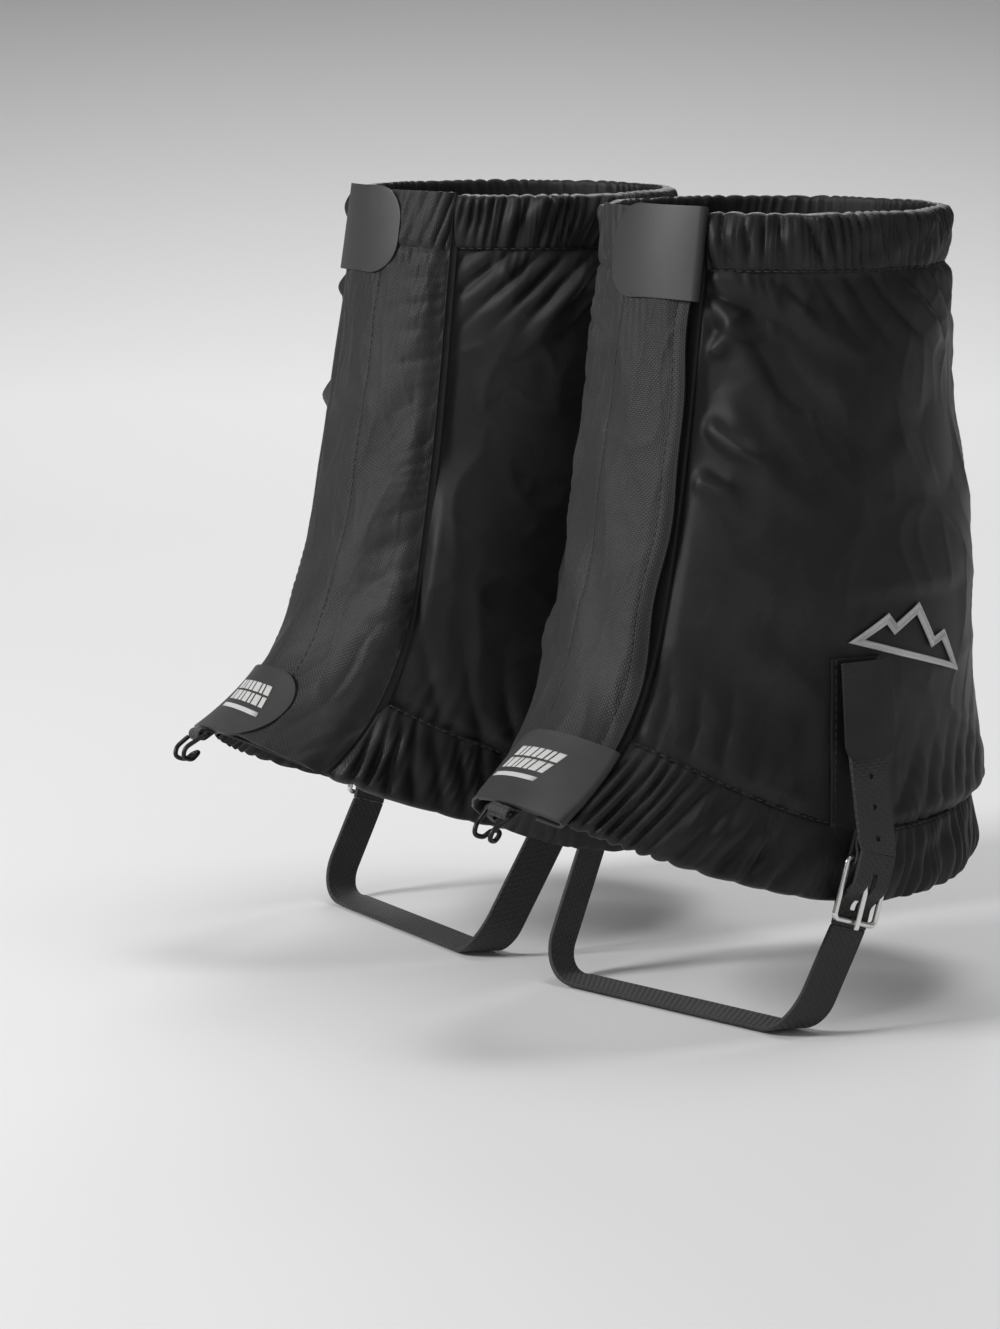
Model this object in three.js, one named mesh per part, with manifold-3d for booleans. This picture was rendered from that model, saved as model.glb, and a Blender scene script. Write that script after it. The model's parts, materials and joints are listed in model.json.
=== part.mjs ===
// A pair of low ankle gaiters, worn over hiking shoes, as separate sewn and metal pieces.
//
// Units are millimetres and +Z is up. The wearer faces -Y, so the left gaiter stands at +X.
// The origin is midway between the two leg axes, level with the top face of the straps that
// pass under the soles. One gaiter is laid out about its own leg axis, with +X away from the
// other leg and -Y to the toes. The right gaiter is its mirror image.
//
// Cloth is placed on one smooth leg surface. A point of it is given by the bearing round the
// leg (0 at the toes, 90 on the outer side, 180 at the heel, -90 on the inner side), by the
// share of the way from the hem to the top edge, and by its stand-off outside the surface.

import * as THREE from 'three';
import { mergeVertices } from 'three/addons/utils/BufferGeometryUtils.js';
import Module from 'manifold-3d';

const wasm = await Module();
wasm.setup();

// ---- Driving dimensions ----

const legSpacing = 138;          // between the two leg axes
const toeOut = 5;                // how far each gaiter turns its toes outwards
const fitGap = 0.3;              // between pieces that touch on the real gaiter
const layerGap = 0.6;            // between the curved layers of the front
const weldTolerance = 1e-4;      // corners closer than this are one corner

const topHeight = 259;           // top edge above the sole
const hemFrontHeight = 75;       // hem over the instep
const hemSideHeight = 37;        // hem beside the ankle
const hemBackHeight = 41;        // hem behind the heel
const hemRise = 1.7;             // how late the hem climbs to the instep, as a power

const topHalfWidth = 53;         // half the surface's width at the top edge
const bodyHalfWidth = 57;        // at its widest, over the ankle
const hemHalfWidth = 54;
const topBackReach = 52;         // from the leg axis to the back, at the top edge
const bodyBackReach = 77;
const hemBackReach = 74;
const topFrontReach = 52;        // from the leg axis to the front, at the top edge
const hemFrontReach = 82;        // the same at the hem, without the instep flare
const instepFlare = 37;          // how much further the hem reaches over the instep
const flareDecay = 0.12;         // share of the height over which the flare fades

const cloth = 0.8;               // pack cloth, coated
const topCasingHeight = 18.5;
const hemCasingHeight = 24;
const casingBulge = 3.2;         // how far a gathered casing stands out
const casingSink = 1.0;          // how far its inner wall lies inside the surface
const casingHeadroom = 5.5;      // from a casing's stitch line or fold to its elastic
const elasticThickness = 1.4;
const seamTapeThickness = 0.8;

const openingInner = -35.5;      // bearings of the front opening's two sewn edges
const openingOuter = 20.5;
const flapSewnEdge = -32;        // bearings of the flap's sewn edge and free edge
const flapFreeEdge = 17;
const hookTapeThickness = 1.0;
const loopTapeThickness = 0.9;
const closureWidth = 18;         // hook and loop tape
const closureInset = 2;          // from the flap's free edge to the tape
const closureFromRow = 3;        // rows of the front between which the tape is sewn
const closureToRow = 9;
const bindingWidth = 2.9;        // strip of turned cloth along the sewn edge
const bindingThickness = 1.6;

const tabThickness = 0.9;
const upperTabHeight = 29;
const lowerTabHeight = 20;
const upperTabProud = 1.5;       // how far the upper tab stands above the top edge
const lowerTabDrop = 2;          // how far the lower tab hangs below the hem
const tabReach = 33;             // from the flap's free edge to the tab's round end
const tabReturn = 5;             // length of the tab folded behind the flap
const tabCorner = 9.5;
const labelLength = 20;
const labelHeight = 9;
const labelThickness = 0.3;

const hookBearing = 4;           // of the lace hook
const hookWebbingWidth = 8;
const hookWebbingThickness = 0.9;
const hookWire = 0.8;            // radius
const hookSpan = 4.6;            // half the width of the lace hook
const hookReach = 10;
const hookMouth = 3.4;
const hookPlay = 0.5;            // between the hook's bar and its webbing
const hookBarDrop = 6.5;         // of the hook's bar below the flap's lower edge
const hookWebbingSink = 0.4;     // flat webbing lies this much deeper than the tab
const hookWebbingTail = 8;       // sewn behind the flap

const strapWidth = 14;
const strapThickness = 1.5;
const strapBearing = 80;         // of the strap's middle on both sides
const strapYaw = 9;              // how far the strap's outer face turns to the toes
const strapTilt = 17;            // how far the buckle leans to the toes
const strapLean = 29;            // how far the strap leans below it
const soleCorner = 12;           // radius of the strap's bends under the sole
const buckleLength = 20;         // bar to far rail, centre to centre
const buckleWire = 1.0;          // radius
const buckleCorner = 1.8;
const buckleSideRoom = 0.5;      // between the strap's edge and the buckle's side
const barHeight = 53;
const anchorThickness = 1.2;
const anchorTail = 9;            // webbing sewn down above the bar
const prongThickness = 1.2;
const prongWidth = 2.0;
const prongOverhang = 2.3;       // past the rail
const prongRoom = 0.4;           // beside the prong, in the slots it passes through
const tailStart = 3;             // end of the stretch inside the buckle, above the bar
const tailBend = 9;              // above this the strap's end stands upright
const tailLength = 38;           // strap end above the bar
const crossingLow = 15;          // below the bar, where the strap starts through the buckle
const crossingHigh = 7.5;        // and where it comes out in front
const railPass = 2;              // strap behind the rail, below its middle
const punchSpacing = 9.8;
const punchFirst = 8.1;          // lowest punched hole above the bar
const punchCount = 3;
const punchRadius = 0.9;
const keeperLength = 31;
const keeperWidth = 20;
const keeperThickness = 1.0;
const keeperCover = 4.3;         // how much of the strap's end it covers
const keeperCorner = 5;
const patchThickness = 0.9;
const patchWidth = 18;
const patchCorner = 3;
const outerPatchLow = 55;        // height of the lower edge
const innerPatchLow = 39;
const innerPatchHeight = 24;
const innerStrapRise = 50;       // height at which the strap ends on the inner side
const innerStrapRoom = 0.5;      // the strap swings a little over the inner patch

const emblemBearing = 95;
const emblemHeight = 124;
const emblemWidth = 45;
const emblemTall = 15;
const emblemTilt = 18;
const emblemStroke = 2.4;
const emblemThickness = 0.6;
const emblemStep = 6;            // longest straight run of its outline

// ---- The leg surface ----

const { lerp, smoothstep, degToRad } = THREE.MathUtils;

// Swells from its hem size to its full size, then narrows to its top size.
function girthProfile(hemSize, fullSize, topSize, fullFrom, fullTo, share) {
  const below = Math.max(0, 1 - share / fullFrom);
  const narrowing = smoothstep(share, fullTo, 1);
  return lerp(fullSize - (fullSize - hemSize) * below ** 2, topSize, narrowing);
}

const halfWidth = (share) => girthProfile(hemHalfWidth, bodyHalfWidth, topHalfWidth, 0.4, 0.55, share);
const backReach = (share) => girthProfile(hemBackReach, bodyBackReach, topBackReach, 0.3, 0.3, share);

function frontReach(share) {
  return lerp(hemFrontReach, topFrontReach, share) + instepFlare * Math.exp(-share / flareDecay);
}

function hemHeight(bearing) {
  const forward = Math.cos(degToRad(bearing));
  const [end, power] = forward > 0 ? [hemFrontHeight, hemRise] : [hemBackHeight, 2];
  return hemSideHeight + (end - hemSideHeight) * Math.abs(forward) ** power;
}

function surfacePoint(bearing, share) {
  const angle = degToRad(bearing);
  const forward = Math.cos(angle);
  const reach = forward > 0 ? frontReach(share) : backReach(share);
  const height = lerp(hemHeight(bearing), topHeight, share);
  return new THREE.Vector3(halfWidth(share) * Math.sin(angle), -reach * forward, height);
}

function surfaceNormal(bearing, share) {
  const alongBearing = surfacePoint(bearing + 0.5, share).sub(surfacePoint(bearing - 0.5, share));
  const alongHeight = surfacePoint(bearing, share + 0.002).sub(surfacePoint(bearing, share - 0.002));
  return alongBearing.cross(alongHeight).normalize();
}

function clothPoint(bearing, share, standOff) {
  return surfacePoint(bearing, share).addScaledVector(surfaceNormal(bearing, share), standOff);
}

const wallHeight = (bearing) => topHeight - hemHeight(bearing);
const aboveHem = (bearing, distance) => distance / wallHeight(bearing);
const belowTop = (bearing, distance) => 1 - distance / wallHeight(bearing);

// ---- Solids ----

const evenly = (from, to, steps) => Array.from({ length: steps + 1 }, (_, i) => lerp(from, to, i / steps));

function signedVolume(positions, triangles) {
  const corner = (i) => new THREE.Vector3().fromArray(positions, 3 * i);
  let volume = 0;
  for (let i = 0; i < triangles.length; i += 3) {
    const [a, b, c] = [0, 1, 2].map((k) => corner(triangles[i + k]));
    volume += a.dot(b.cross(c)) / 6;
  }
  return volume;
}

function solid(positions, triangles) {
  const geometry = new THREE.BufferGeometry();
  const outward = signedVolume(positions, triangles) > 0 ? triangles : [...triangles].reverse();
  geometry.setAttribute('position', new THREE.Float32BufferAttribute(positions, 3));
  geometry.setIndex(outward);
  geometry.computeVertexNormals();
  return geometry;
}

// Joins rings of points into one closed body. Ends are closed across the ring, first point to
// last, which suits a sheet whose ring runs out along one face and back along the other.
function loft(rings, closed = false) {
  const size = rings[0].length;
  const triangles = [];
  const quad = (a, b, c, d) => triangles.push(a, b, c, a, c, d);
  const spans = closed ? rings.length : rings.length - 1;
  for (let i = 0; i < spans; i += 1) {
    const here = i * size;
    const next = ((i + 1) % rings.length) * size;
    for (let k = 0; k < size; k += 1) {
      const after = (k + 1) % size;
      quad(here + k, here + after, next + after, next + k);
    }
  }
  if (!closed) {
    const last = (rings.length - 1) * size;
    for (let k = 0; k < size / 2 - 1; k += 1) {
      const back = size - 1 - k;
      quad(k, back, back - 1, k + 1);
      quad(last + k, last + k + 1, last + back - 1, last + back);
    }
  }
  return solid(rings.flat().flatMap((point) => point.toArray()), triangles);
}

// The outline of a sheet of some thickness whose middle follows a path of flat points.
function sheetOutline(path, thickness) {
  const side = (sign) => path.map((point, i) => {
    const before = path[Math.max(i - 1, 0)];
    const after = path[Math.min(i + 1, path.length - 1)];
    const into = point.clone().sub(before).normalize();
    const out = after.clone().sub(point).normalize();
    const run = into.clone().add(out).normalize();
    const mitre = Math.max(into.lengthSq() && out.lengthSq() ? run.dot(into) : 1, 0.5);
    const across = new THREE.Vector2(-run.y, run.x);
    return point.clone().addScaledVector(across, sign * thickness / 2 / mitre);
  });
  return [...side(1), ...side(-1).reverse()];
}

// A panel of cloth over a run of bearings, with the heights of its rows given at each bearing.
function panel(bearings, rowsAt, innerFace, outerFace) {
  const rings = bearings.map((bearing) => {
    const shares = rowsAt(bearing);
    const inner = shares.map((share) => clothPoint(bearing, share, innerFace));
    const outer = shares.map((share) => clothPoint(bearing, share, outerFace));
    return [...inner, ...outer.reverse()];
  });
  return loft(rings);
}

// A flat strip of webbing along stations, each with a middle point and a direction across.
function ribbon(stations, width, thickness) {
  const rings = stations.map(({ middle, across }, i) => {
    const before = stations[Math.max(i - 1, 0)].middle;
    const after = stations[Math.min(i + 1, stations.length - 1)].middle;
    const face = after.clone().sub(before).cross(across).normalize();
    const corner = (a, f) => middle.clone()
      .addScaledVector(across, a * width / 2)
      .addScaledVector(face, f * thickness / 2);
    return [corner(-1, -1), corner(1, -1), corner(1, 1), corner(-1, 1)];
  });
  return loft(rings);
}

// A profile drawn in the plane of X and Z and given a width along Y, centred on it.
function barOf(outline, width) {
  const geometry = new THREE.ExtrudeGeometry(new THREE.Shape(outline), { depth: width, bevelEnabled: false });
  geometry.translate(0, 0, -width / 2);
  geometry.rotateX(Math.PI / 2);
  return geometry;
}

// A flat plate drawn in the plane of Y and Z, its inner face at X = 0.
function plate(shape, thickness) {
  const geometry = new THREE.ExtrudeGeometry(shape, { depth: thickness, bevelEnabled: false, curveSegments: 5 });
  geometry.rotateX(Math.PI / 2);
  geometry.rotateZ(Math.PI / 2);
  return geometry;
}

function roundedPlate(width, low, high, corner) {
  const shape = new THREE.Shape();
  shape.moveTo(-width / 2, high);
  shape.lineTo(-width / 2, low + corner);
  shape.absarc(-width / 2 + corner, low + corner, corner, Math.PI, 1.5 * Math.PI);
  shape.absarc(width / 2 - corner, low + corner, corner, 1.5 * Math.PI, 2 * Math.PI);
  shape.lineTo(width / 2, high);
  return shape;
}

function toManifold(geometry) {
  const bare = geometry.clone();
  bare.deleteAttribute('normal');
  bare.deleteAttribute('uv');
  const merged = mergeVertices(bare, weldTolerance);
  const vertProperties = Float32Array.from(merged.attributes.position.array);
  const triVerts = Uint32Array.from(merged.index.array);
  return new wasm.Manifold(new wasm.Mesh({ numProp: 3, vertProperties, triVerts }));
}

// Cuts tools, each a geometry placed where it cuts, out of a body.
function cut(body, tools) {
  const left = tools.reduce((rest, tool) => rest.subtract(toManifold(tool)), toManifold(body));
  const { vertProperties, triVerts } = left.getMesh();
  const geometry = new THREE.BufferGeometry();
  geometry.setAttribute('position', new THREE.Float32BufferAttribute(vertProperties, 3));
  geometry.setIndex([...triVerts]);
  geometry.computeVertexNormals();
  return geometry;
}

function boxAt(size, centre) {
  return new THREE.BoxGeometry(...size).translate(...centre);
}

// ---- Colours and finishes ----

const finishes = {
  packCloth: { color: 0x1f1f20, roughness: 0.62, metalness: 0 },
  flapCloth: { color: 0x29292a, roughness: 0.66, metalness: 0 },
  tabRubber: { color: 0x474748, roughness: 0.55, metalness: 0 },
  elastic: { color: 0x2a2a2a, roughness: 0.85, metalness: 0 },
  hookAndLoop: { color: 0x181818, roughness: 0.95, metalness: 0 },
  webbing: { color: 0x2b2b2c, roughness: 0.75, metalness: 0 },
  thread: { color: 0xa9a9ab, roughness: 0.6, metalness: 0 },
  print: { color: 0xb9b9b7, roughness: 0.7, metalness: 0 },
  nickel: { color: 0xcfcfcd, roughness: 0.25, metalness: 1 },
  blackWire: { color: 0x222222, roughness: 0.35, metalness: 1 },
};

function piece(name, geometry, finish) {
  const mesh = new THREE.Mesh(geometry, new THREE.MeshStandardMaterial(finishes[finish]));
  mesh.name = name;
  return mesh;
}

// ---- Cloth: panels, casings and their elastic ----

// Bearings between two ends, closer together round the front, where the hem turns tightly.
function roundFrom(from, to) {
  const ladder = [...evenly(30, 84, 9), ...evenly(96, 171, 6), ...evenly(189, 264, 6), ...evenly(276, 318, 7)];
  return [from, ...ladder.filter((rung) => rung > from + 1 && rung < to - 1), to];
}

const seamHalf = 0.15;                         // half a butted seam's gap, in degrees of bearing
const cornerRoom = 0.8;                        // from the opening's edges to the panels, likewise
const casingFrom = openingOuter + cornerRoom;
const casingTo = 360 + openingInner - cornerRoom;
const panelRows = 6;

// Rows between the stitch lines of the two casings.
function betweenCasings(bearing) {
  const low = aboveHem(bearing, hemCasingHeight + fitGap);
  const high = belowTop(bearing, topCasingHeight + fitGap);
  return evenly(low, high, panelRows);
}

// Rows shared by the layers of the front, closer together where the instep flares, so that
// their faces stay parallel.
const frontRows = evenly(0, 1, 10).map((part) => part ** 1.8);

function outerPanel() {
  return panel(roundFrom(casingFrom, 180 - seamHalf), betweenCasings, 0, cloth);
}

function innerPanel() {
  return panel(roundFrom(180 + seamHalf, casingTo), betweenCasings, 0, cloth);
}

function underFlap() {
  return panel(evenly(openingInner, openingOuter, 12), () => frontRows, 0, cloth);
}

function backSeamTape() {
  const outerFace = -fitGap;
  return panel([171, 180, 189], betweenCasings, outerFace - seamTapeThickness, outerFace);
}

// The tunnel of cloth turned over the elastic, as one folded sheet. Its section runs from the
// stitch line along the outer wall to the free fold and back along the inner wall.
function casingSection(height) {
  const outerWall = casingBulge - cloth / 2;
  const innerWall = cloth / 2 - casingSink;
  const stitch = cloth / 2;
  return sheetOutline([
    new THREE.Vector2(stitch, innerWall + cloth + fitGap),
    new THREE.Vector2(casingHeadroom, outerWall),
    new THREE.Vector2(height - casingHeadroom, outerWall),
    new THREE.Vector2(height - stitch, (outerWall + innerWall) / 2),
    new THREE.Vector2(height - casingHeadroom, innerWall),
    new THREE.Vector2(casingHeadroom, innerWall),
    new THREE.Vector2(stitch, innerWall),
  ], cloth);
}

// Sweeps a section of (distance from the stitch line, stand-off) round the leg.
function roundTheLeg(section, shareAt) {
  const rings = roundFrom(casingFrom, casingTo).map((bearing) => (
    section.map(({ x, y }) => clothPoint(bearing, shareAt(bearing, x), y))
  ));
  return loft(rings);
}

function elasticSection(height) {
  const innerFace = cloth - casingSink + fitGap;
  const middle = innerFace + elasticThickness / 2;
  const room = casingHeadroom + 1;
  const ends = [room, height - room].map((x) => new THREE.Vector2(x, middle));
  return sheetOutline(ends, elasticThickness);
}

const fromTopStitch = (bearing, distance) => belowTop(bearing, topCasingHeight - distance);
const fromHemStitch = (bearing, distance) => aboveHem(bearing, hemCasingHeight - distance);

// ---- The front closure ----

const hookTapeFace = cloth + layerGap;
const loopTapeFace = hookTapeFace + hookTapeThickness + fitGap;
const flapInnerFace = loopTapeFace + loopTapeThickness + layerGap;
const flapOuterFace = flapInnerFace + cloth;
const tabOuterMiddle = flapOuterFace + layerGap + tabThickness / 2;
const tabInnerMiddle = flapInnerFace - layerGap - tabThickness / 2;

function frontFlap() {
  return panel(evenly(flapSewnEdge, flapFreeEdge, 12), () => frontRows, flapInnerFace, flapOuterFace);
}

// The turned edge of the flap, sewn down beside the opening.
function flapBinding() {
  const edge = flapSewnEdge - layerGap;
  const innerFace = cloth + fitGap;
  return panel([edge - bindingWidth, edge], () => frontRows, innerFace, innerFace + bindingThickness);
}

function closureTape(face, thickness) {
  const edge = flapFreeEdge - closureInset;
  const rows = frontRows.slice(closureFromRow, closureToRow + 1);
  return panel(evenly(edge - closureWidth, edge, 4), () => rows, face, face + thickness);
}

// A tab with a round end, folded round the flap's free edge. One degree of bearing is close to
// one millimetre here, so its section is drawn with bearing and stand-off alike.
function foldedTab(height, shareAt) {
  const foldMiddle = (tabOuterMiddle + tabInnerMiddle) / 2;
  const foldDepth = flapFreeEdge + layerGap + tabThickness;
  const straightTo = flapFreeEdge + layerGap;
  const rings = evenly(0, height, 6).map((distance) => {
    const intoCorner = Math.max(0, Math.abs(distance - height / 2) - (height / 2 - tabCorner));
    const rounding = tabCorner - Math.sqrt(tabCorner ** 2 - Math.min(intoCorner, tabCorner) ** 2);
    const roundEnd = flapFreeEdge - tabReach + rounding;
    const path = [
      ...evenly(roundEnd, straightTo, 6).map((bearing) => new THREE.Vector2(bearing, tabOuterMiddle)),
      new THREE.Vector2(foldDepth, foldMiddle),
      ...evenly(straightTo, flapFreeEdge - tabReturn, 1)
        .map((bearing) => new THREE.Vector2(bearing, tabInnerMiddle)),
    ];
    return sheetOutline(path, tabThickness).map(({ x, y }) => clothPoint(x, shareAt(distance), y));
  });
  return loft(rings);
}

const upperTabShare = (distance) => belowTop(0, upperTabHeight - upperTabProud - distance);
const lowerTabShare = (distance) => aboveHem(0, distance - lowerTabDrop);

function tabLabel() {
  const face = tabOuterMiddle + tabThickness / 2 + fitGap;
  const from = flapFreeEdge - tabReach + 5;
  const rows = evenly(-labelHeight / 2, labelHeight / 2, 3).map((y) => lowerTabShare(lowerTabHeight / 2 + y));
  return panel(evenly(from, from + labelLength, 4), () => rows, face, face + labelThickness);
}

// ---- The lace hook ----

const hookLoopRadius = hookWire + hookPlay + hookWebbingThickness / 2;

// A frame at the middle of the flap's lower edge: X down the instep, Y outwards.
function instepFrame() {
  const outward = surfaceNormal(hookBearing, 0);
  const down = surfacePoint(hookBearing, -0.01).sub(surfacePoint(hookBearing, 0.01)).normalize();
  const frame = new THREE.Group();
  const basis = new THREE.Matrix4().makeBasis(down, outward, down.clone().cross(outward));
  frame.quaternion.setFromRotationMatrix(basis);
  frame.position.copy(clothPoint(hookBearing, 0, tabInnerMiddle - hookWebbingSink));
  return frame;
}

const arcPoints = (radius, from, to, steps, centre = new THREE.Vector2()) => (
  evenly(from, to, steps).map((angle) => new THREE.Vector2(
    centre.x + radius * Math.cos(degToRad(angle)),
    centre.y + radius * Math.sin(degToRad(angle)),
  ))
);

// A strip of webbing sewn behind the flap and turned round the hook's bar. The bar lies a loop's
// radius outside the strip.
function hookWebbing() {
  const centre = new THREE.Vector2(hookBarDrop, hookLoopRadius);
  const path = [
    new THREE.Vector2(-hookWebbingTail, 0),
    ...arcPoints(hookLoopRadius, -90, 170, 8, centre),
  ];
  const shape = new THREE.Shape(sheetOutline(path, hookWebbingThickness));
  const geometry = new THREE.ExtrudeGeometry(shape, { depth: hookWebbingWidth, bevelEnabled: false });
  return geometry.translate(0, 0, -hookWebbingWidth / 2);
}

// Wire bent across the webbing, out along both sides and back under itself into a hook.
function laceHook() {
  const half = hookWebbingWidth / 2 + hookWire + layerGap;
  const drop = hookMouth + 2 * hookWire;
  const at = (reach, fall, side) => new THREE.Vector3(hookReach * reach, -drop * fall, hookSpan * side);
  const leg = (side) => [
    new THREE.Vector3(0, 0, side * half),
    at(0.4, 0, side),
    at(0.8, 0.06, side * 0.8),
    at(1, 0.5, side * 0.7),
    at(0.8, 1, side * 0.55),
    at(0.5, 1, side * 0.4),
  ];
  const bar = [-0.7, 0, 0.7].map((part) => new THREE.Vector3(0, 0, half * part));
  const tip = at(0.38, 1, 0);
  const points = [...bar, ...leg(1), tip, ...leg(-1).reverse().slice(0, -1), at(0.2, 0, -1.1)];
  const wire = new THREE.Shape(arcPoints(hookWire, 0, 300, 5));
  const route = new THREE.CatmullRomCurve3(points, false, 'centripetal');
  return new THREE.ExtrudeGeometry(wire, { steps: 34, extrudePath: route, bevelEnabled: false });
}

// ---- The side strap and its buckle ----

// The frame of one side, +1 outer or -1 inner, turned to face along the cloth beside the strap:
// X outwards, Y back along the cloth, Z up.
function sideBasis(side) {
  const yaw = degToRad(strapYaw);
  const outwards = new THREE.Vector3(side * Math.cos(yaw), -Math.sin(yaw), 0);
  const back = new THREE.Vector3(side * Math.sin(yaw), Math.cos(yaw), 0);
  return { outwards, back };
}

// Where the cloth lies beside the strap between two heights: how far out, and how far back.
function clothBeside(side, lowHeight, highHeight) {
  const { outwards, back } = sideBasis(side);
  const spread = patchWidth / 2 / degToRad(frontReach(0.2));
  const distances = evenly(-spread, spread, 4).flatMap((turn) => {
    const bearing = side * (strapBearing + turn);
    const hem = hemHeight(bearing);
    return evenly(lowHeight, highHeight, 12).map((height) => {
      const share = Math.max(height - hem, 0) / (topHeight - hem);
      const standOff = height < hem + hemCasingHeight ? casingBulge : cloth;
      return clothPoint(bearing, share, standOff).dot(outwards);
    });
  });
  return { out: Math.max(...distances), along: surfacePoint(side * strapBearing, 0.05).dot(back) };
}

// The matrix of a side's frame, with its origin at the inner face of that side's patch.
function sidePlace(side, lowHeight, highHeight) {
  const { outwards, back } = sideBasis(side);
  const { out, along } = clothBeside(side, lowHeight, highHeight);
  const up = new THREE.Vector3(0, 0, 1);
  const origin = outwards.clone().multiplyScalar(out + fitGap).addScaledVector(back, along);
  return new THREE.Matrix4().makeBasis(outwards, back, up).setPosition(origin);
}

const tilt = degToRad(strapTilt);
const keeperTop = barHeight + tailLength + keeperLength - keeperCover;
const outerPatchHigh = keeperTop + 1;
const outerPlace = sidePlace(1, hemSideHeight, outerPatchHigh);
const innerPlace = sidePlace(-1, innerPatchLow, innerPatchLow + innerPatchHeight);
const anchorRadius = buckleWire + fitGap + anchorThickness / 2;
const prongRadius = buckleWire + fitGap + prongThickness / 2;
const loopFront = Math.max(anchorRadius + anchorThickness / 2, prongRadius + prongThickness / 2);
const strapBack = -(buckleWire + fitGap + strapThickness / 2);
const strapFront = loopFront + fitGap + strapThickness / 2;
const patchFace = patchThickness + fitGap;
const barX = patchFace + Math.max(loopFront, strapThickness / 2 - strapBack) + fitGap;

// The leaning frame of the buckle, inside the outer side's: the bar at its origin.
function buckleFrame() {
  const frame = new THREE.Group();
  frame.position.set(barX, 0, barHeight);
  frame.rotation.x = -tilt;
  return frame;
}

const leaning = (x, y, z) => new THREE.Vector3(x, y, z)
  .applyAxisAngle(new THREE.Vector3(1, 0, 0), -tilt)
  .add(new THREE.Vector3(barX, 0, barHeight));

const slotWidth = prongWidth + 2 * prongRoom;

// Webbing folded round the bar and sewn to the gaiter above it, slotted for the prong.
function buckleAnchor() {
  const overlap = -anchorRadius + anchorThickness + fitGap;
  const outline = sheetOutline([
    new THREE.Vector2(-anchorRadius, anchorTail),
    ...arcPoints(anchorRadius, 180, 360, 8),
    new THREE.Vector2(anchorRadius * 0.7, anchorTail * 0.27),
    new THREE.Vector2(overlap, anchorTail * 0.55),
    new THREE.Vector2(overlap, anchorTail),
  ], anchorThickness);
  const slot = boxAt([4 * loopFront, slotWidth, 4 * prongRadius], [0, 0, 0]);
  return cut(barOf(outline, strapWidth), [slot]);
}

// Closed wire: a bar, two sides and a far rail.
function buckleWireFrame() {
  const halfSpan = strapWidth / 2 + buckleSideRoom + buckleWire;
  const corners = [[1, 0, 0], [-1, 0, 90], [-1, -1, 180], [1, -1, 270]];
  const rings = corners.flatMap(([side, end, start]) => {
    const centreY = side * (halfSpan - buckleCorner);
    const centreZ = end === 0 ? -buckleCorner : buckleCorner - buckleLength;
    return evenly(start, start + 90, 3).map((angle) => {
      const turn = degToRad(angle);
      const out = new THREE.Vector3(0, Math.cos(turn), Math.sin(turn));
      const middle = new THREE.Vector3(0, centreY, centreZ).addScaledVector(out, buckleCorner);
      return evenly(0, 315, 7).map((round) => middle.clone()
        .addScaledVector(out, buckleWire * Math.cos(degToRad(round)))
        .add(new THREE.Vector3(buckleWire * Math.sin(degToRad(round)), 0, 0)));
    });
  });
  return loft(rings, true);
}

function buckleProng() {
  const outline = sheetOutline([
    ...arcPoints(prongRadius, 250, 0, 8),
    new THREE.Vector2(prongRadius, -buckleLength),
    new THREE.Vector2(prongRadius - fitGap / 2, -buckleLength - prongOverhang),
  ], prongThickness);
  return barOf(outline, prongWidth);
}

// The strap's stretch inside the buckle: behind the rail, through to the front of the bar.
function strapBight() {
  const ease = strapThickness / 2;
  const outline = sheetOutline([
    new THREE.Vector2(strapBack, -buckleLength - railPass),
    new THREE.Vector2(strapBack, -crossingLow),
    new THREE.Vector2(strapBack + ease, -crossingLow + 2 * ease),
    new THREE.Vector2(strapFront - ease, -crossingHigh - 2 * ease),
    new THREE.Vector2(strapFront, -crossingHigh),
    new THREE.Vector2(strapFront, tailStart),
  ], strapThickness);
  const length = crossingLow - crossingHigh + 4 * ease;
  const slot = boxAt([4 * barX, slotWidth, length], [0, 0, -(crossingLow + crossingHigh) / 2]);
  return cut(barOf(outline, strapWidth), [slot]);
}

const sideways = new THREE.Vector3(0, 1, 0);
const leaningAcross = new THREE.Vector3(0, Math.cos(tilt), -Math.sin(tilt));
const tipX = barX + strapBack - fitGap;

function tailMiddle(height) {
  const bend = barHeight + tailBend;
  const share = (height - bend) / (barHeight + tailLength - bend);
  return new THREE.Vector3(lerp(barX + strapFront, tipX, share), 0, height);
}

function strapTail() {
  const start = leaning(strapFront, 0, tailStart + fitGap);
  const heights = evenly(barHeight + tailBend, barHeight + tailLength, 2);
  const stations = [
    { middle: start, across: leaningAcross },
    ...heights.map((height) => ({ middle: tailMiddle(height), across: sideways })),
  ];
  const punches = Array.from({ length: punchCount }, (_, i) => {
    const punch = new THREE.CylinderGeometry(punchRadius, punchRadius, barX, 8).rotateZ(Math.PI / 2);
    return punch.translate(...tailMiddle(barHeight + punchFirst + i * punchSpacing).toArray());
  });
  return cut(ribbon(stations, strapWidth, strapThickness), punches);
}

// Hinged along its upper edge and lying out over the strap's end.
function strapKeeper() {
  const lift = tailMiddle(keeperTop - keeperLength).x + strapThickness / 2 + 2 * fitGap - patchFace;
  const blade = plate(roundedPlate(keeperWidth, -keeperLength, 0, keeperCorner), keeperThickness);
  blade.rotateY(-Math.asin(lift / keeperLength));
  return blade.translate(patchFace, 0, keeperTop);
}

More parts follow.
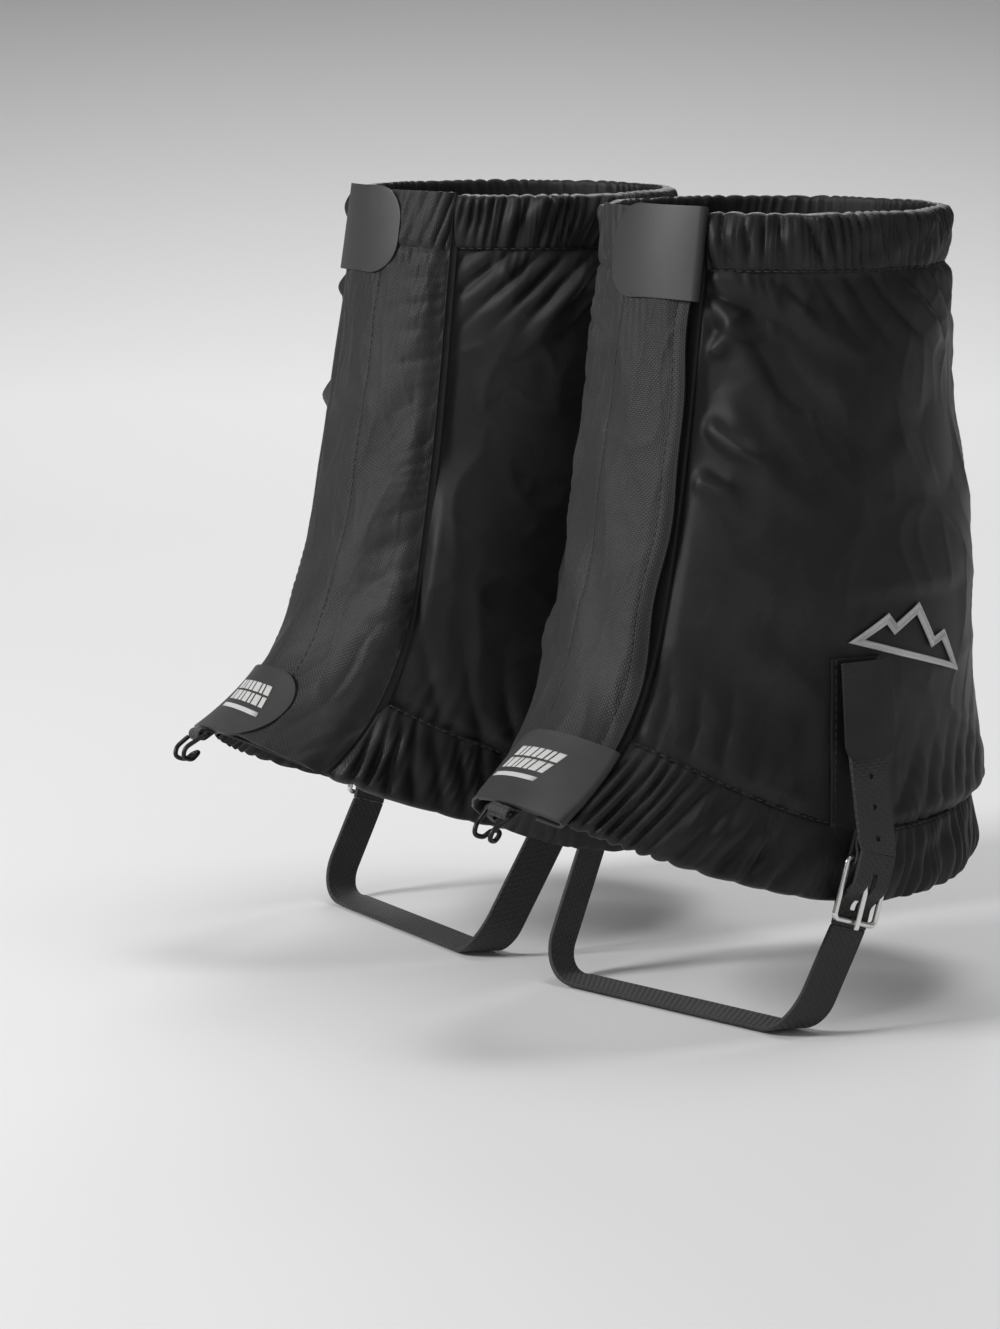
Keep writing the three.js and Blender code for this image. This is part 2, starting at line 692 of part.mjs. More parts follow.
// From behind the buckle's rail, down, under the sole and up to the inner side. It leans to the
// toes below each side's upper end, as far as the buckle at first and then further.
function instepStrap() {
  const bottom = -strapThickness / 2;
  const riseTo = bottom + soleCorner;
  const lean = degToRad(strapLean);
  const across = new THREE.Vector3(0, Math.cos(lean), -Math.sin(lean));
  const run = (place, x, top, start, turned) => {
    const station = (out, height, direction) => {
      const back = start + (height - top) * Math.tan(lean);
      return {
        middle: new THREE.Vector3(out, back, height).applyMatrix4(place),
        across: direction.clone().transformDirection(place),
      };
    };
    const rising = evenly(top, riseTo, 2).map((height, i) => station(x, height, i === 0 ? turned : across));
    const bend = evenly(15, 90, 5).map((angle) => {
      const turn = degToRad(angle);
      const flattened = across.clone().lerp(sideways, angle / 90).normalize();
      return station(x - soleCorner * (1 - Math.cos(turn)), riseTo - soleCorner * Math.sin(turn), flattened);
    });
    return [...rising, ...bend];
  };
  const outerTop = leaning(strapBack, 0, -buckleLength - railPass - fitGap);
  const innerX = patchFace + strapThickness / 2 + innerStrapRoom;
  return ribbon([
    ...run(outerPlace, barX + strapBack, outerTop.z, outerTop.y, leaningAcross),
    ...run(innerPlace, innerX, innerStrapRise, 0, across).reverse(),
  ], strapWidth, strapThickness);
}

const sidePatch = (low, high, centreY) => (
  plate(roundedPlate(patchWidth, low, high, patchCorner), patchThickness).translate(0, centreY, 0)
);

// ---- The emblem: a stitched outline of three peaks ----

function sideEmblem() {
  const peaks = [[-0.5, -0.5], [0.5, -0.5], [0.27, 0.1], [0.17, -0.12], [-0.06, 0.5], [-0.22, -0.05], [-0.31, 0.12]];
  const turn = degToRad(-emblemTilt);
  const corners = peaks.map(([x, y]) => new THREE.Vector2(x * emblemWidth, y * emblemTall)
    .rotateAround(new THREE.Vector2(), turn));
  const route = corners.flatMap((corner, i) => {
    const next = corners[(i + 1) % corners.length];
    const steps = Math.ceil(corner.distanceTo(next) / emblemStep);
    return evenly(0, 1, steps).slice(0, -1).map((part) => corner.clone().lerp(next, part));
  });
  const degree = surfacePoint(emblemBearing, 0.4).distanceTo(surfacePoint(emblemBearing + 1, 0.4));
  const onSide = (flat, standOff) => {
    const bearing = emblemBearing + flat.x / degree;
    return clothPoint(bearing, aboveHem(bearing, emblemHeight + flat.y - hemHeight(bearing)), standOff);
  };
  const innerFace = cloth + fitGap;
  const outerFace = innerFace + emblemThickness;
  const rings = route.map((point, i) => {
    const before = route[(i + route.length - 1) % route.length];
    const after = route[(i + 1) % route.length];
    const into = point.clone().sub(before).normalize();
    const run = into.clone().add(after.clone().sub(point).normalize()).normalize();
    const mitred = emblemStroke / 2 / Math.max(run.dot(into), 0.5);
    const across = new THREE.Vector2(-run.y, run.x).multiplyScalar(mitred);
    const edge = (sign, standOff) => onSide(point.clone().addScaledVector(across, sign), standOff);
    return [edge(-1, innerFace), edge(1, innerFace), edge(1, outerFace), edge(-1, outerFace)];
  });
  return loft(rings, true);
}

// ---- Assembly ----

function placedAt(matrix) {
  const group = new THREE.Group();
  group.applyMatrix4(matrix);
  return group;
}

function gaiter(side) {
  const make = (name, geometry, finish) => piece(`${name}_${side}`, geometry, finish);
  const hook = new THREE.Group();
  hook.position.set(hookBarDrop, hookLoopRadius, 0);
  hook.add(make('lace_hook', laceHook(), 'blackWire'));
  const instep = instepFrame().add(make('hook_webbing', hookWebbing(), 'webbing'), hook);
  const buckle = buckleFrame().add(
    make('buckle_anchor', buckleAnchor(), 'webbing'),
    make('buckle_frame', buckleWireFrame(), 'nickel'),
    make('buckle_prong', buckleProng(), 'nickel'),
    make('strap_bight', strapBight(), 'webbing'),
  );
  const outerSide = placedAt(outerPlace).add(
    make('outer_patch', sidePatch(outerPatchLow, outerPatchHigh, 0), 'flapCloth'),
    make('strap_keeper', strapKeeper(), 'flapCloth'),
    make('strap_tail', strapTail(), 'webbing'),
    buckle,
  );
  const innerPatch = sidePatch(innerPatchLow, innerPatchLow + innerPatchHeight, 0);
  const innerSide = placedAt(innerPlace).add(make('inner_patch', innerPatch, 'flapCloth'));
  return new THREE.Group().add(
    make('outer_panel', outerPanel(), 'packCloth'),
    make('inner_panel', innerPanel(), 'packCloth'),
    make('back_seam_tape', backSeamTape(), 'elastic'),
    make('front_underflap', underFlap(), 'packCloth'),
    make('top_casing', roundTheLeg(casingSection(topCasingHeight), fromTopStitch), 'packCloth'),
    make('top_elastic', roundTheLeg(elasticSection(topCasingHeight), fromTopStitch), 'elastic'),
    make('hem_casing', roundTheLeg(casingSection(hemCasingHeight), fromHemStitch), 'packCloth'),
    make('hem_elastic', roundTheLeg(elasticSection(hemCasingHeight), fromHemStitch), 'elastic'),
    make('flap_binding', flapBinding(), 'flapCloth'),
    make('front_flap', frontFlap(), 'flapCloth'),
    make('front_hook_tape', closureTape(hookTapeFace, hookTapeThickness), 'hookAndLoop'),
    make('flap_loop_tape', closureTape(loopTapeFace, loopTapeThickness), 'hookAndLoop'),
    make('upper_tab', foldedTab(upperTabHeight, upperTabShare), 'tabRubber'),
    make('lower_tab', foldedTab(lowerTabHeight, lowerTabShare), 'tabRubber'),
    make('tab_label', tabLabel(), 'print'),
    make('side_emblem', sideEmblem(), 'thread'),
    make('instep_strap', instepStrap(), 'webbing'),
    instep,
    outerSide,
    innerSide,
  );
}

const pair = new THREE.Group();
const left = gaiter('left');
const right = gaiter('right');
left.position.x = legSpacing / 2;
left.rotation.z = degToRad(toeOut);
right.position.x = -legSpacing / 2;
right.rotation.z = -degToRad(toeOut);
right.scale.x = -1;
pair.add(left, right);

export default pair;
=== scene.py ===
import json
import math
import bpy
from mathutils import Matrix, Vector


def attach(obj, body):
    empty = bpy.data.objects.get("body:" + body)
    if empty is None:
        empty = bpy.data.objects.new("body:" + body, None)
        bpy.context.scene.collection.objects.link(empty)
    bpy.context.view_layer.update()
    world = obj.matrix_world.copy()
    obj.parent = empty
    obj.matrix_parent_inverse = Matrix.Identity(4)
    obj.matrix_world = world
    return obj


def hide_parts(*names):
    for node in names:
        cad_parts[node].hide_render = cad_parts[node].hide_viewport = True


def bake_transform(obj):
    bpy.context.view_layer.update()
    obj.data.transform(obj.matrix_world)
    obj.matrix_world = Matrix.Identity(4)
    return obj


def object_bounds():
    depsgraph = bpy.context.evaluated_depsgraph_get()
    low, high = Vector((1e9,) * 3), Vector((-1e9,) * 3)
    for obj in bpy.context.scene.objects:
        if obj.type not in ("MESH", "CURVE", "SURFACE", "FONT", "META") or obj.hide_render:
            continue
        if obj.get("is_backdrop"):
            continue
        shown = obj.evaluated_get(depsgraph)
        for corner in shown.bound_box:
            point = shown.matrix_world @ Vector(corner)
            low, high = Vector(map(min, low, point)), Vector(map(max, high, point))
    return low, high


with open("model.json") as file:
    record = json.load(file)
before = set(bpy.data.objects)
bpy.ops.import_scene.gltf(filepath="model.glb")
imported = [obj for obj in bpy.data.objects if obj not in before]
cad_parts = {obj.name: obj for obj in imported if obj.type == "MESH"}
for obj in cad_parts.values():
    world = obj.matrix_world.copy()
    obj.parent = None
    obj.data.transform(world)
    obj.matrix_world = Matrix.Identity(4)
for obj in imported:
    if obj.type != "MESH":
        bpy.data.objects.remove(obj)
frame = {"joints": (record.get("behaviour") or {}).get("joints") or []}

from types import SimpleNamespace

import bpy
import numpy as np
from bpy.props import FloatProperty, FloatVectorProperty, PointerProperty
from bpy.types import Operator, Panel, PropertyGroup
from mathutils import Vector

bl_info = {
    "name": "Ankle Gaiters",
    "version": (1, 0, 0),
    "blender": (4, 5, 0),
    "location": "View3D > Sidebar > Gaiters",
    "description": "Sewn cloth, webbing and wire pieces for a pair of ankle gaiters",
    "category": "Object",
}

CAD_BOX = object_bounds()
SIDES = ("left", "right")

# ---- The leg that the cloth is cut for, in millimetres about one leg's own axis ----
# +X points away from the other leg, -Y to the toes. A spot on it is a bearing round the leg
# (0 at the toes, 90 outside, 180 at the heel) and a share of the way from hem to top edge.

LEG_AXIS = 69.0
TOE_OUT = math.radians(5)
TOP = 259.0
TOP_CASING = 18.5
HEM_CASING = 24.0
OPENING = (-35.5, 20.5)
FLAP = (-32.0, 18.4)
FLAP_MIDDLE = 4.6
TAB_OUTER = 6.05
TAB_INNER = 3.15
TAB_REACH = 34.4
UPPER_TAB = 29
LOWER_TAB = 20


def ease(x):
    """The smooth step x * x * (3 - 2x) of x held between 0 and 1."""
    x = np.clip(x, 0, 1)
    return x * x * (3 - 2 * x)


def girth(hem, full, top, full_from, full_to, share):
    """Swells with the square of the way up from hem to full, then eases in to top."""
    below = np.maximum(0, 1 - share / full_from)
    widest = full - (full - hem) * below**2
    return widest + (top - widest) * ease((share - full_to) / (1 - full_to))


def half_width(share):
    """Half the leg's width."""
    return girth(54, 57, 53, 0.4, 0.55, share)


def back_reach(share):
    """From the leg's axis to its back."""
    return girth(74, 77, 52, 0.3, 0.3, share)


def front_reach(share):
    """A straight taper plus a flare over the instep that dies away with height."""
    hem, top, flare, decay = 82, 52, 37, 0.12
    return hem + (top - hem) * share + flare * np.exp(-share / decay)


def hem_height(bearing):
    """Climbs from the ankle to the instep and to the heel as powers of the cosine."""
    ankle, instep, heel = 37, 75, 41
    forward = np.cos(np.radians(bearing))
    front = ankle + (instep - ankle) * np.abs(forward) ** 1.7
    back = ankle + (heel - ankle) * forward**2
    return np.where(forward > 0, front, back)


def leg_point(bearing, share):
    """Half an ellipse in front and half behind, at the height between hem and top edge."""
    bearing, share = np.broadcast_arrays(np.asarray(bearing, float), np.asarray(share, float))
    angle = np.radians(bearing)
    forward = np.cos(angle)
    reach = np.where(forward > 0, front_reach(share), back_reach(share))
    hem = hem_height(bearing)
    height = hem + (TOP - hem) * share
    return np.stack([half_width(share) * np.sin(angle), -reach * forward, height], -1)


def leg_normal(bearing, share):
    """The cross product of the surface's two directions, made one long."""
    bearing, share = np.asarray(bearing, float), np.asarray(share, float)
    around = leg_point(bearing + 0.5, share) - leg_point(bearing - 0.5, share)
    up = leg_point(bearing, share + 0.002) - leg_point(bearing, share - 0.002)
    normal = np.cross(around, up)
    return normal / np.linalg.norm(normal, axis=-1, keepdims=True)


def laid(bearing, share, off):
    """A point of cloth: the leg's surface plus a stand-off along its normal."""
    return leg_point(bearing, share) + leg_normal(bearing, share) * np.asarray(off)[..., None]


def above_hem(bearing, distance):
    """The share at a distance above the hem: the distance over the cloth's height."""
    return distance / (TOP - hem_height(bearing))


def below_top(bearing, distance):
    """The share at a distance below the top edge: one less the same quotient."""
    return 1 - distance / (TOP - hem_height(bearing))


def leg_spot(back, height, outer=1):
    """Bearing and share of the spot at a depth and height, found by a few repeated guesses."""
    back, height = np.broadcast_arrays(np.asarray(back, float), np.asarray(height, float))
    share = np.full(back.shape, 0.3)
    for _ in range(6):
        reach = np.where(back < 0, front_reach(share), back_reach(share))
        bearing = np.degrees(np.arccos(np.clip(-back / reach, -1, 1)))
        hem = hem_height(bearing)
        share = (height - hem) / (TOP - hem)
    return outer * bearing, share


def stand(points):
    """From one leg's own axes to the left gaiter's place: a turn and a shift."""
    x, y, z = np.moveaxis(points, -1, 0)
    c, s = math.cos(TOE_OUT), math.sin(TOE_OUT)
    return np.stack([LEG_AXIS + x * c - y * s, x * s + y * c, z], -1)


# ---- The side strap, the buckle and the lace hook, in millimetres in the left gaiter's place ----

JOINTS = {joint["name"]: joint for joint in frame["joints"]}


def joint_place(name):
    """A joint's point in millimetres and its direction."""
    joint = JOINTS[name]
    return np.array(joint["pos_m"]) * 1000, np.array(joint["axis"], float)


UP = np.array([0.0, 0.0, 1.0])
BUCKLE_TILT = math.radians(17)
STRAP_LEAN = math.radians(29)
BAR_OUT = 4.3
BUCKLE_LENGTH = 20.0
STRAP_BACK = -2.05
STRAP_FRONT = 3.55
STRAP_WIDTH = 14.0
STRAP_WALL = 1.5
PUNCHES = (8.1, 17.9, 27.7)
PATCH_FACE = 1.2

bar_point, bar_axis = joint_place("prong_swing_left")
rail_point, BACK = joint_place("strap_tail_peel_left")
OUT = np.cross(BACK, UP)
BAR_HEIGHT = float(bar_point[2])
OUTER_ORIGIN = np.array([bar_point[0], bar_point[1], 0]) - BAR_OUT * OUT
KEEPER_TOP = float(joint_place("keeper_lift_left")[0][2])
INNER_ORIGIN = np.array([12.98952, -23.82032, 0.0])
INNER_OUT = np.array([-0.9703, -0.24192, 0.0])
INNER_BACK = np.array([-0.24192, 0.9703, 0.0])
hook_point, HOOK_ACROSS = joint_place("lace_hook_swing_left")
HOOK_DOWN = np.array([0.07376, -0.87476, -0.47871])
HOOK_OUT = np.cross(HOOK_ACROSS, HOOK_DOWN)


def framed(points, origin, x_axis, y_axis, z_axis):
    """Coordinates along three axes, added to an origin."""
    x, y, z = (points[..., k, None] for k in range(3))
    return origin + x * x_axis + y * y_axis + z * z_axis


def beside_strap(points):
    """Out from the leg, to the heel and up, from the foot of the outer strap."""
    return framed(points, OUTER_ORIGIN, OUT, BACK, UP)


def at_buckle(points):
    """The buckle's leaning axes: its bar at the origin, turned to the toes by the tilt."""
    x, y, z = np.moveaxis(points, -1, 0)
    c, s = math.cos(BUCKLE_TILT), math.sin(BUCKLE_TILT)
    upright = np.stack([BAR_OUT + x, y * c + z * s, BAR_HEIGHT - y * s + z * c], -1)
    return beside_strap(upright)


def at_hook(points):
    """Down the instep, out from it and across it, from the hook's joint."""
    return framed(points, hook_point, HOOK_DOWN, HOOK_OUT, HOOK_ACROSS)


# ---- Cloth shapes ----


def gathers(run, fall, pitch, lean, seed):
    """Rounded ridges and narrow valleys: the root of a sine's size along a run whose spacing and
    height wander as sums of slow sines, slanted by the lean."""
    rng = np.random.default_rng(seed)
    wander = sum(
        rng.uniform(0.3, 0.6) * pitch * np.sin(run / (pitch * wave) + rng.uniform(0, 6.3) + fall * turn)
        for wave, turn in ((0.9, 0.01), (1.7, 0.03), (3.3, -0.04), (5.1, 0.05))
    )
    ridge = np.abs(np.sin(np.pi * (run + wander + lean * fall) / pitch)) ** 0.75
    height = 0.72 + 0.28 * np.sin(run / (pitch * 1.31) + rng.uniform(0, 6.3) + fall * 0.07)
    return (ridge - 0.45) * height


def swell(u, v, size, seed, waves=7):
    """A smooth random surface: the mean of sines in random directions, bent by slower ones."""
    rng = np.random.default_rng(seed)
    bent_u = u + 0.35 * size * np.sin(v / size * 1.1 + rng.uniform(0, 6.3))
    bent_v = v + 0.35 * size * np.sin(u / size * 0.9 + rng.uniform(0, 6.3))
    total = 0
    for _ in range(waves):
        angle, phase = rng.uniform(0, np.pi), rng.uniform(0, 6.3)
        rate = 2 * np.pi / (size * rng.uniform(0.75, 1.5))
        total = total + np.sin(rate * (bent_u * np.cos(angle) + bent_v * np.sin(angle)) + phase)
    return total / math.sqrt(waves)


def creases(u, v, size, seed):
    """Sharp folds where a random surface changes sign: one less its size, raised to a power."""
    return np.maximum(0, 1 - np.abs(swell(u, v, size, seed))) ** 2.2


def fold(u, v, start, end, width, height):
    """One soft fold along a straight line, bell-shaped across it and fading to its ends."""
    start, end = np.array(start, float), np.array(end, float)
    run = end - start
    length = np.linalg.norm(run)
    along = ((u - start[0]) * run[0] + (v - start[1]) * run[1]) / length
    across = ((v - start[1]) * run[0] - (u - start[0]) * run[1]) / length
    across = across + 0.06 * length * np.sin(np.pi * along / length)
    fade = ease(along / (0.25 * length)) * ease((length - along) / (0.45 * length))
    return height * fade * np.exp(-((across / width) ** 2))


# ---- Meshes ----


def spread(first, second):
    """Two runs of numbers as one grid, the first of them down its rows."""
    return np.meshgrid(first, second, indexing="ij")


def cells(grid):
    """The four corners of each cell of a grid."""
    return np.stack([grid[:-1, :-1], grid[1:, :-1], grid[1:, 1:], grid[:-1, 1:]], 2)


def arc_lengths(points, axis):
    """Distance run along one grid direction, averaged over the other."""
    steps = np.linalg.norm(np.diff(points, axis=axis), axis=-1).mean(axis=1 - axis)
    return np.concatenate([[0], np.cumsum(steps)])


def grid_piece(name, points, side, material, flip=False, loop=(False, False), keep=None):
    """A surface on a grid of points in millimetres, with a UV map in metres run along it."""
    points = np.asarray(points, float)
    index = np.arange(points.shape[0] * points.shape[1]).reshape(points.shape[:2])
    if loop[0]:
        index = np.vstack([index, index[:1]])
    if loop[1]:
        index = np.hstack([index, index[:, :1]])
    flat = points.reshape(-1, 3) * 0.001
    places = flat[index]
    uv = np.stack(spread(arc_lengths(places, 0), arc_lengths(places, 1)), -1)
    quads, uvs = cells(index), cells(uv)
    if keep is not None:
        quads, uvs = quads[keep], uvs[keep]
    quads, uvs = quads.reshape(-1, 4), uvs.reshape(-1, 4, 2)
    if side == "right":
        flat = flat * np.array([-1, 1, 1])
    if flip != (side == "right"):
        quads, uvs = quads[:, ::-1], uvs[:, ::-1]
    used, places = np.unique(quads, return_inverse=True)
    return mesh_piece(f"{side}_{name}", flat[used], places.reshape(-1, 4), material, uvs)


def mesh_piece(name, points, quads, material, uvs=None):
    """Puts arrays of points, four-sided faces and their UVs into a smooth mesh object."""
    mesh = bpy.data.meshes.new(name)
    mesh.from_pydata(points.tolist(), [], quads.tolist())
    if uvs is not None:
        layer = mesh.uv_layers.new(name="cloth")
        layer.data.foreach_set("uv", np.ascontiguousarray(uvs, np.float32).ravel())
    mesh.polygons.foreach_set("use_smooth", np.ones(len(mesh.polygons), bool))
    mesh.materials.append(material)
    mesh.update()
    piece = bpy.data.objects.new(name, mesh)
    bpy.context.scene.collection.objects.link(piece)
    return piece


def thicken(piece, wall, offset=0.0):
    """Gives a sheet its wall, in millimetres."""
    solid = piece.modifiers.new("wall", "SOLIDIFY")
    solid.thickness = wall * 0.001
    solid.offset = offset
    return piece


def soften(piece, radius, segments=2):
    """Rounds sharp edges by a radius in millimetres."""
    bevel = piece.modifiers.new("soft edges", "BEVEL")
    bevel.width = radius * 0.001
    bevel.segments = segments
    bevel.limit_method = "ANGLE"
    bevel.angle_limit = math.radians(50)
    bevel.harden_normals = False
    return piece


def made(side, name, points, look, body="gaiter", slot=None,
         wall=0, offset=0, rounded=0, segments=2, **grid):
    """A finished piece: its surface, its wall and round edges in millimetres, the body that it
    rides on, its slot, which is passed on but not used, and the model's node of the same name that it
    stands for."""
    piece = grid_piece(name, points, side, dressed()[look], **grid)
    if wall:
        thicken(piece, wall, offset)
    if rounded:
        soften(piece, rounded, segments)
    return worn(piece, side, body, slot or look, name)


def worn(piece, side, body, slot, *nodes):
    """Rides a piece on its body and hides the model's parts for the nodes that it stands for. Its slot is
    passed on but not used.
    """
    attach(piece, f"{body}_{side}")
    stands_for(piece, side, slot, *nodes)
    return piece


def stands_for(piece, side, slot, *nodes):
    """Hides the model's parts for the nodes that a piece stands for. Its slot is not used."""
    if nodes:
        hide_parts(*[f"{node}_{side}" for node in nodes])


def along(path, steps):
    """A smooth path through points: Catmull-Rom, in even steps between each pair."""
    path = np.asarray(path, float)
    padded = np.vstack([2 * path[0] - path[1], path, 2 * path[-1] - path[-2]])
    t = np.linspace(0, 1, steps, endpoint=False)[:, None]
    runs = []
    for a, b, c, d in zip(padded, padded[1:], padded[2:], padded[3:]):
        square, cube = 2 * a - 5 * b + 4 * c - d, 3 * b - a - 3 * c + d
        runs.append(0.5 * (2 * b + (c - a) * t + square * t**2 + cube * t**3))
    return np.vstack([*runs, path[-1:]])


def evened(path, count):
    """The same path with its points an equal distance apart."""
    path = np.asarray(path, float)
    run = np.concatenate([[0], np.cumsum(np.linalg.norm(np.diff(path, axis=0), axis=1))])
    even = np.linspace(0, run[-1], count)
    return np.stack([np.interp(even, run, path[:, k]) for k in range(path.shape[1])], -1)


def tangents(path, closed=False):
    """The path's direction at each point, one long: from the point before to the one after."""
    ahead = np.roll(path, -1, 0) - np.roll(path, 1, 0) if closed else np.gradient(path, axis=0)
    return ahead / np.linalg.norm(ahead, axis=-1, keepdims=True)


def wire_grid(path, radius, up, sides=14, closed=False):
    """A round wire: circles round each point of a path, in the plane across it."""
    run = tangents(path, closed)
    first = np.cross(run, up)
    first /= np.linalg.norm(first, axis=-1, keepdims=True)
    second = np.cross(first, run)
    turn = np.linspace(0, 2 * np.pi, sides, endpoint=False)[None, :, None]
    return path[:, None] + radius * (np.cos(turn) * first[:, None] + np.sin(turn) * second[:, None])


def webbing_grid(path, across, width, columns=29):
    """A flat strip: each point of the path carried half the width to both sides."""
    shares = np.linspace(-0.5, 0.5, columns)[None, :, None]
    return path[:, None] + shares * width * np.broadcast_to(across, path.shape)[:, None]


def capped(path):
    """Closes a wire's ends: the first and last circle drawn in to their middles."""
    first, last = path[:1].mean(1, keepdims=True), path[-1:].mean(1, keepdims=True)
    shrink = lambda ring, middle, part: middle + (ring - middle) * part
    return np.concatenate([
        shrink(path[:1], first, 0.02), shrink(path[:1], first, 0.6), path,
        shrink(path[-1:], last, 0.6), shrink(path[-1:], last, 0.02),
    ])


def stitch_row(path, normals, side, pitch, length=2.2, width=0.45):
    """A row of stitches: one small rounded lozenge every pitch along a path, copied as arrays."""
    path = np.asarray(path, float)
    run = np.concatenate([[0], np.cumsum(np.linalg.norm(np.diff(path, axis=0), axis=1))])
    spots = np.arange(pitch / 2, run[-1], pitch)
    pick = lambda values: np.stack([np.interp(spots, run, values[:, k]) for k in range(3)], -1)[:, None]
    middle, tangent, out = pick(path), pick(tangents(path)), pick(np.asarray(normals))
    rings, sides = 5, 6
    lengthwise = np.linspace(-1, 1, rings)
    turn = np.linspace(0, 2 * np.pi, sides, endpoint=False)
    thick = np.sqrt(np.maximum(0.06, 1 - lengthwise**2))[:, None]
    x = np.repeat(lengthwise * length / 2, sides)[:, None]
    y = (thick * np.cos(turn)).ravel()[:, None] * width / 2
    z = (thick * np.sin(turn)).ravel()[:, None] * width / 2
    points = middle + x * tangent + y * np.cross(out, tangent) + z * out
    ring = np.arange(rings * sides).reshape(rings, sides)
    walls = cells(np.hstack([ring, ring[:, :1]]))[..., ::-1].reshape(-1, 4)
    ends = np.array([[0, 5, 4, 1], [1, 4, 3, 2], [24, 25, 28, 29], [25, 26, 27, 28]])
    faces = np.vstack([walls, ends])
    quads = (faces + rings * sides * np.arange(len(spots))[:, None, None]).reshape(-1, 4)
    flat = points.reshape(-1, 3) * 0.001
    if side == "right":
        flat, quads = flat * np.array([-1, 1, 1]), quads[:, ::-1]
    return flat, quads


def joined(rows):
    """Several lots of points and faces as one."""
    starts = np.cumsum([0, *(len(points) for points, _ in rows)])
    faces = [quads + start for (_, quads), start in zip(rows, starts)]
    return np.vstack([points for points, _ in rows]), np.vstack(faces)


# ---- Finishes ----


def shader_group(name, inputs, outputs, build):
    """A node group with named sockets, built once."""
    group = bpy.data.node_groups.get(name)
    if group:
        return group
    group = bpy.data.node_groups.new(name, "ShaderNodeTree")
    for label, kind, default in inputs:
        socket = group.interface.new_socket(label, in_out="INPUT", socket_type=kind)
        if default is not None:
            socket.default_value = default
    for label, kind in outputs:
        group.interface.new_socket(label, in_out="OUTPUT", socket_type=kind)
    start, end = group.nodes.new("NodeGroupInput"), group.nodes.new("NodeGroupOutput")
    build(group, start, end)
    return group


class Wiring:
    """Adds nodes to a tree and joins them, so that a finish reads as a few lines."""

    def __init__(self, tree):
        self.tree = tree

    def node(self, kind, values=None, links=None, **settings):
        node = self.tree.nodes.new(kind)
        for key, value in settings.items():
            setattr(node, key, value)
        for socket, value in (values or {}).items():
            node.inputs[socket].default_value = value
        for socket, source in (links or {}).items():
            self.tree.links.new(source, node.inputs[socket])
        return node

    def math(self, operation, first, second=None, clamp=False):
        node = self.tree.nodes.new("ShaderNodeMath")
        node.operation = operation
        node.use_clamp = clamp
        for socket, value in zip(node.inputs, (first, second)):
            if value is None:
                continue
            if isinstance(value, (int, float)):
                socket.default_value = value
            else:
                self.tree.links.new(value, socket)
        return node.outputs[0]


def build_weave(group, start, end):
    """Plain weave: the size of a sine for each thread, taking turns over and under as squares of
    a board do."""
    w = Wiring(group)
    split = w.node("ShaderNodeSeparateXYZ", links={"Vector": start.outputs["Vector"]})
    u = w.math("MULTIPLY", split.outputs["X"], start.outputs["Threads across"])
    v = w.math("MULTIPLY", split.outputs["Y"], start.outputs["Threads along"])
    ridge_u = w.math("ABSOLUTE", w.math("SINE", w.math("MULTIPLY", u, math.pi)))
    ridge_v = w.math("ABSOLUTE", w.math("SINE", w.math("MULTIPLY", v, math.pi)))
    board = w.math("PINGPONG", w.math("ADD", w.math("FLOOR", u), w.math("FLOOR", v)), 1)
    over = w.math("MULTIPLY", ridge_u, board)
    under = w.math("MULTIPLY", ridge_v, w.math("SUBTRACT", 1, board))
    group.links.new(w.math("ADD", over, under), end.inputs["Height"])


def weave_group():
    """The group of the woven threads."""
    inputs = [
        ("Vector", "NodeSocketVector", None),
        ("Threads across", "NodeSocketFloat", 2000.0),
        ("Threads along", "NodeSocketFloat", 2000.0),
    ]
    return shader_group("Woven threads", inputs, [("Height", "NodeSocketFloat")], build_weave)


def build_handling(group, start, end):
    """Soft mottling and a little dust: two noises of different size, one of them narrowed."""
    w = Wiring(group)
    place = {"Vector": start.outputs["Vector"]}
    broad = w.node("ShaderNodeTexNoise", {"Scale": 28.0, "Detail": 5.0, "Roughness": 0.6}, place)
    fine = w.node("ShaderNodeTexNoise", {"Scale": 620.0, "Detail": 3.0, "Roughness": 0.7}, place)
    dust = w.node("ShaderNodeMapRange", {"From Min": 0.5, "From Max": 0.8}, {"Value": broad.outputs["Fac"]})
    specks = w.math("MULTIPLY", dust.outputs["Result"], fine.outputs["Fac"])
    group.links.new(broad.outputs["Fac"], end.inputs["Mottle"])
    group.links.new(w.math("MULTIPLY", specks, start.outputs["Dust"]), end.inputs["Dust"])
    group.links.new(fine.outputs["Fac"], end.inputs["Grain"])


def handling_group():
    """The group of the mottling and the dust."""
    inputs = [("Vector", "NodeSocketVector", None), ("Dust", "NodeSocketFloat", 0.5)]
    outputs = [("Mottle", "NodeSocketFloat"), ("Dust", "NodeSocketFloat"), ("Grain", "NodeSocketFloat")]
    return shader_group("Handling", inputs, outputs, build_handling)


DUST = (0.3, 0.29, 0.275, 1)


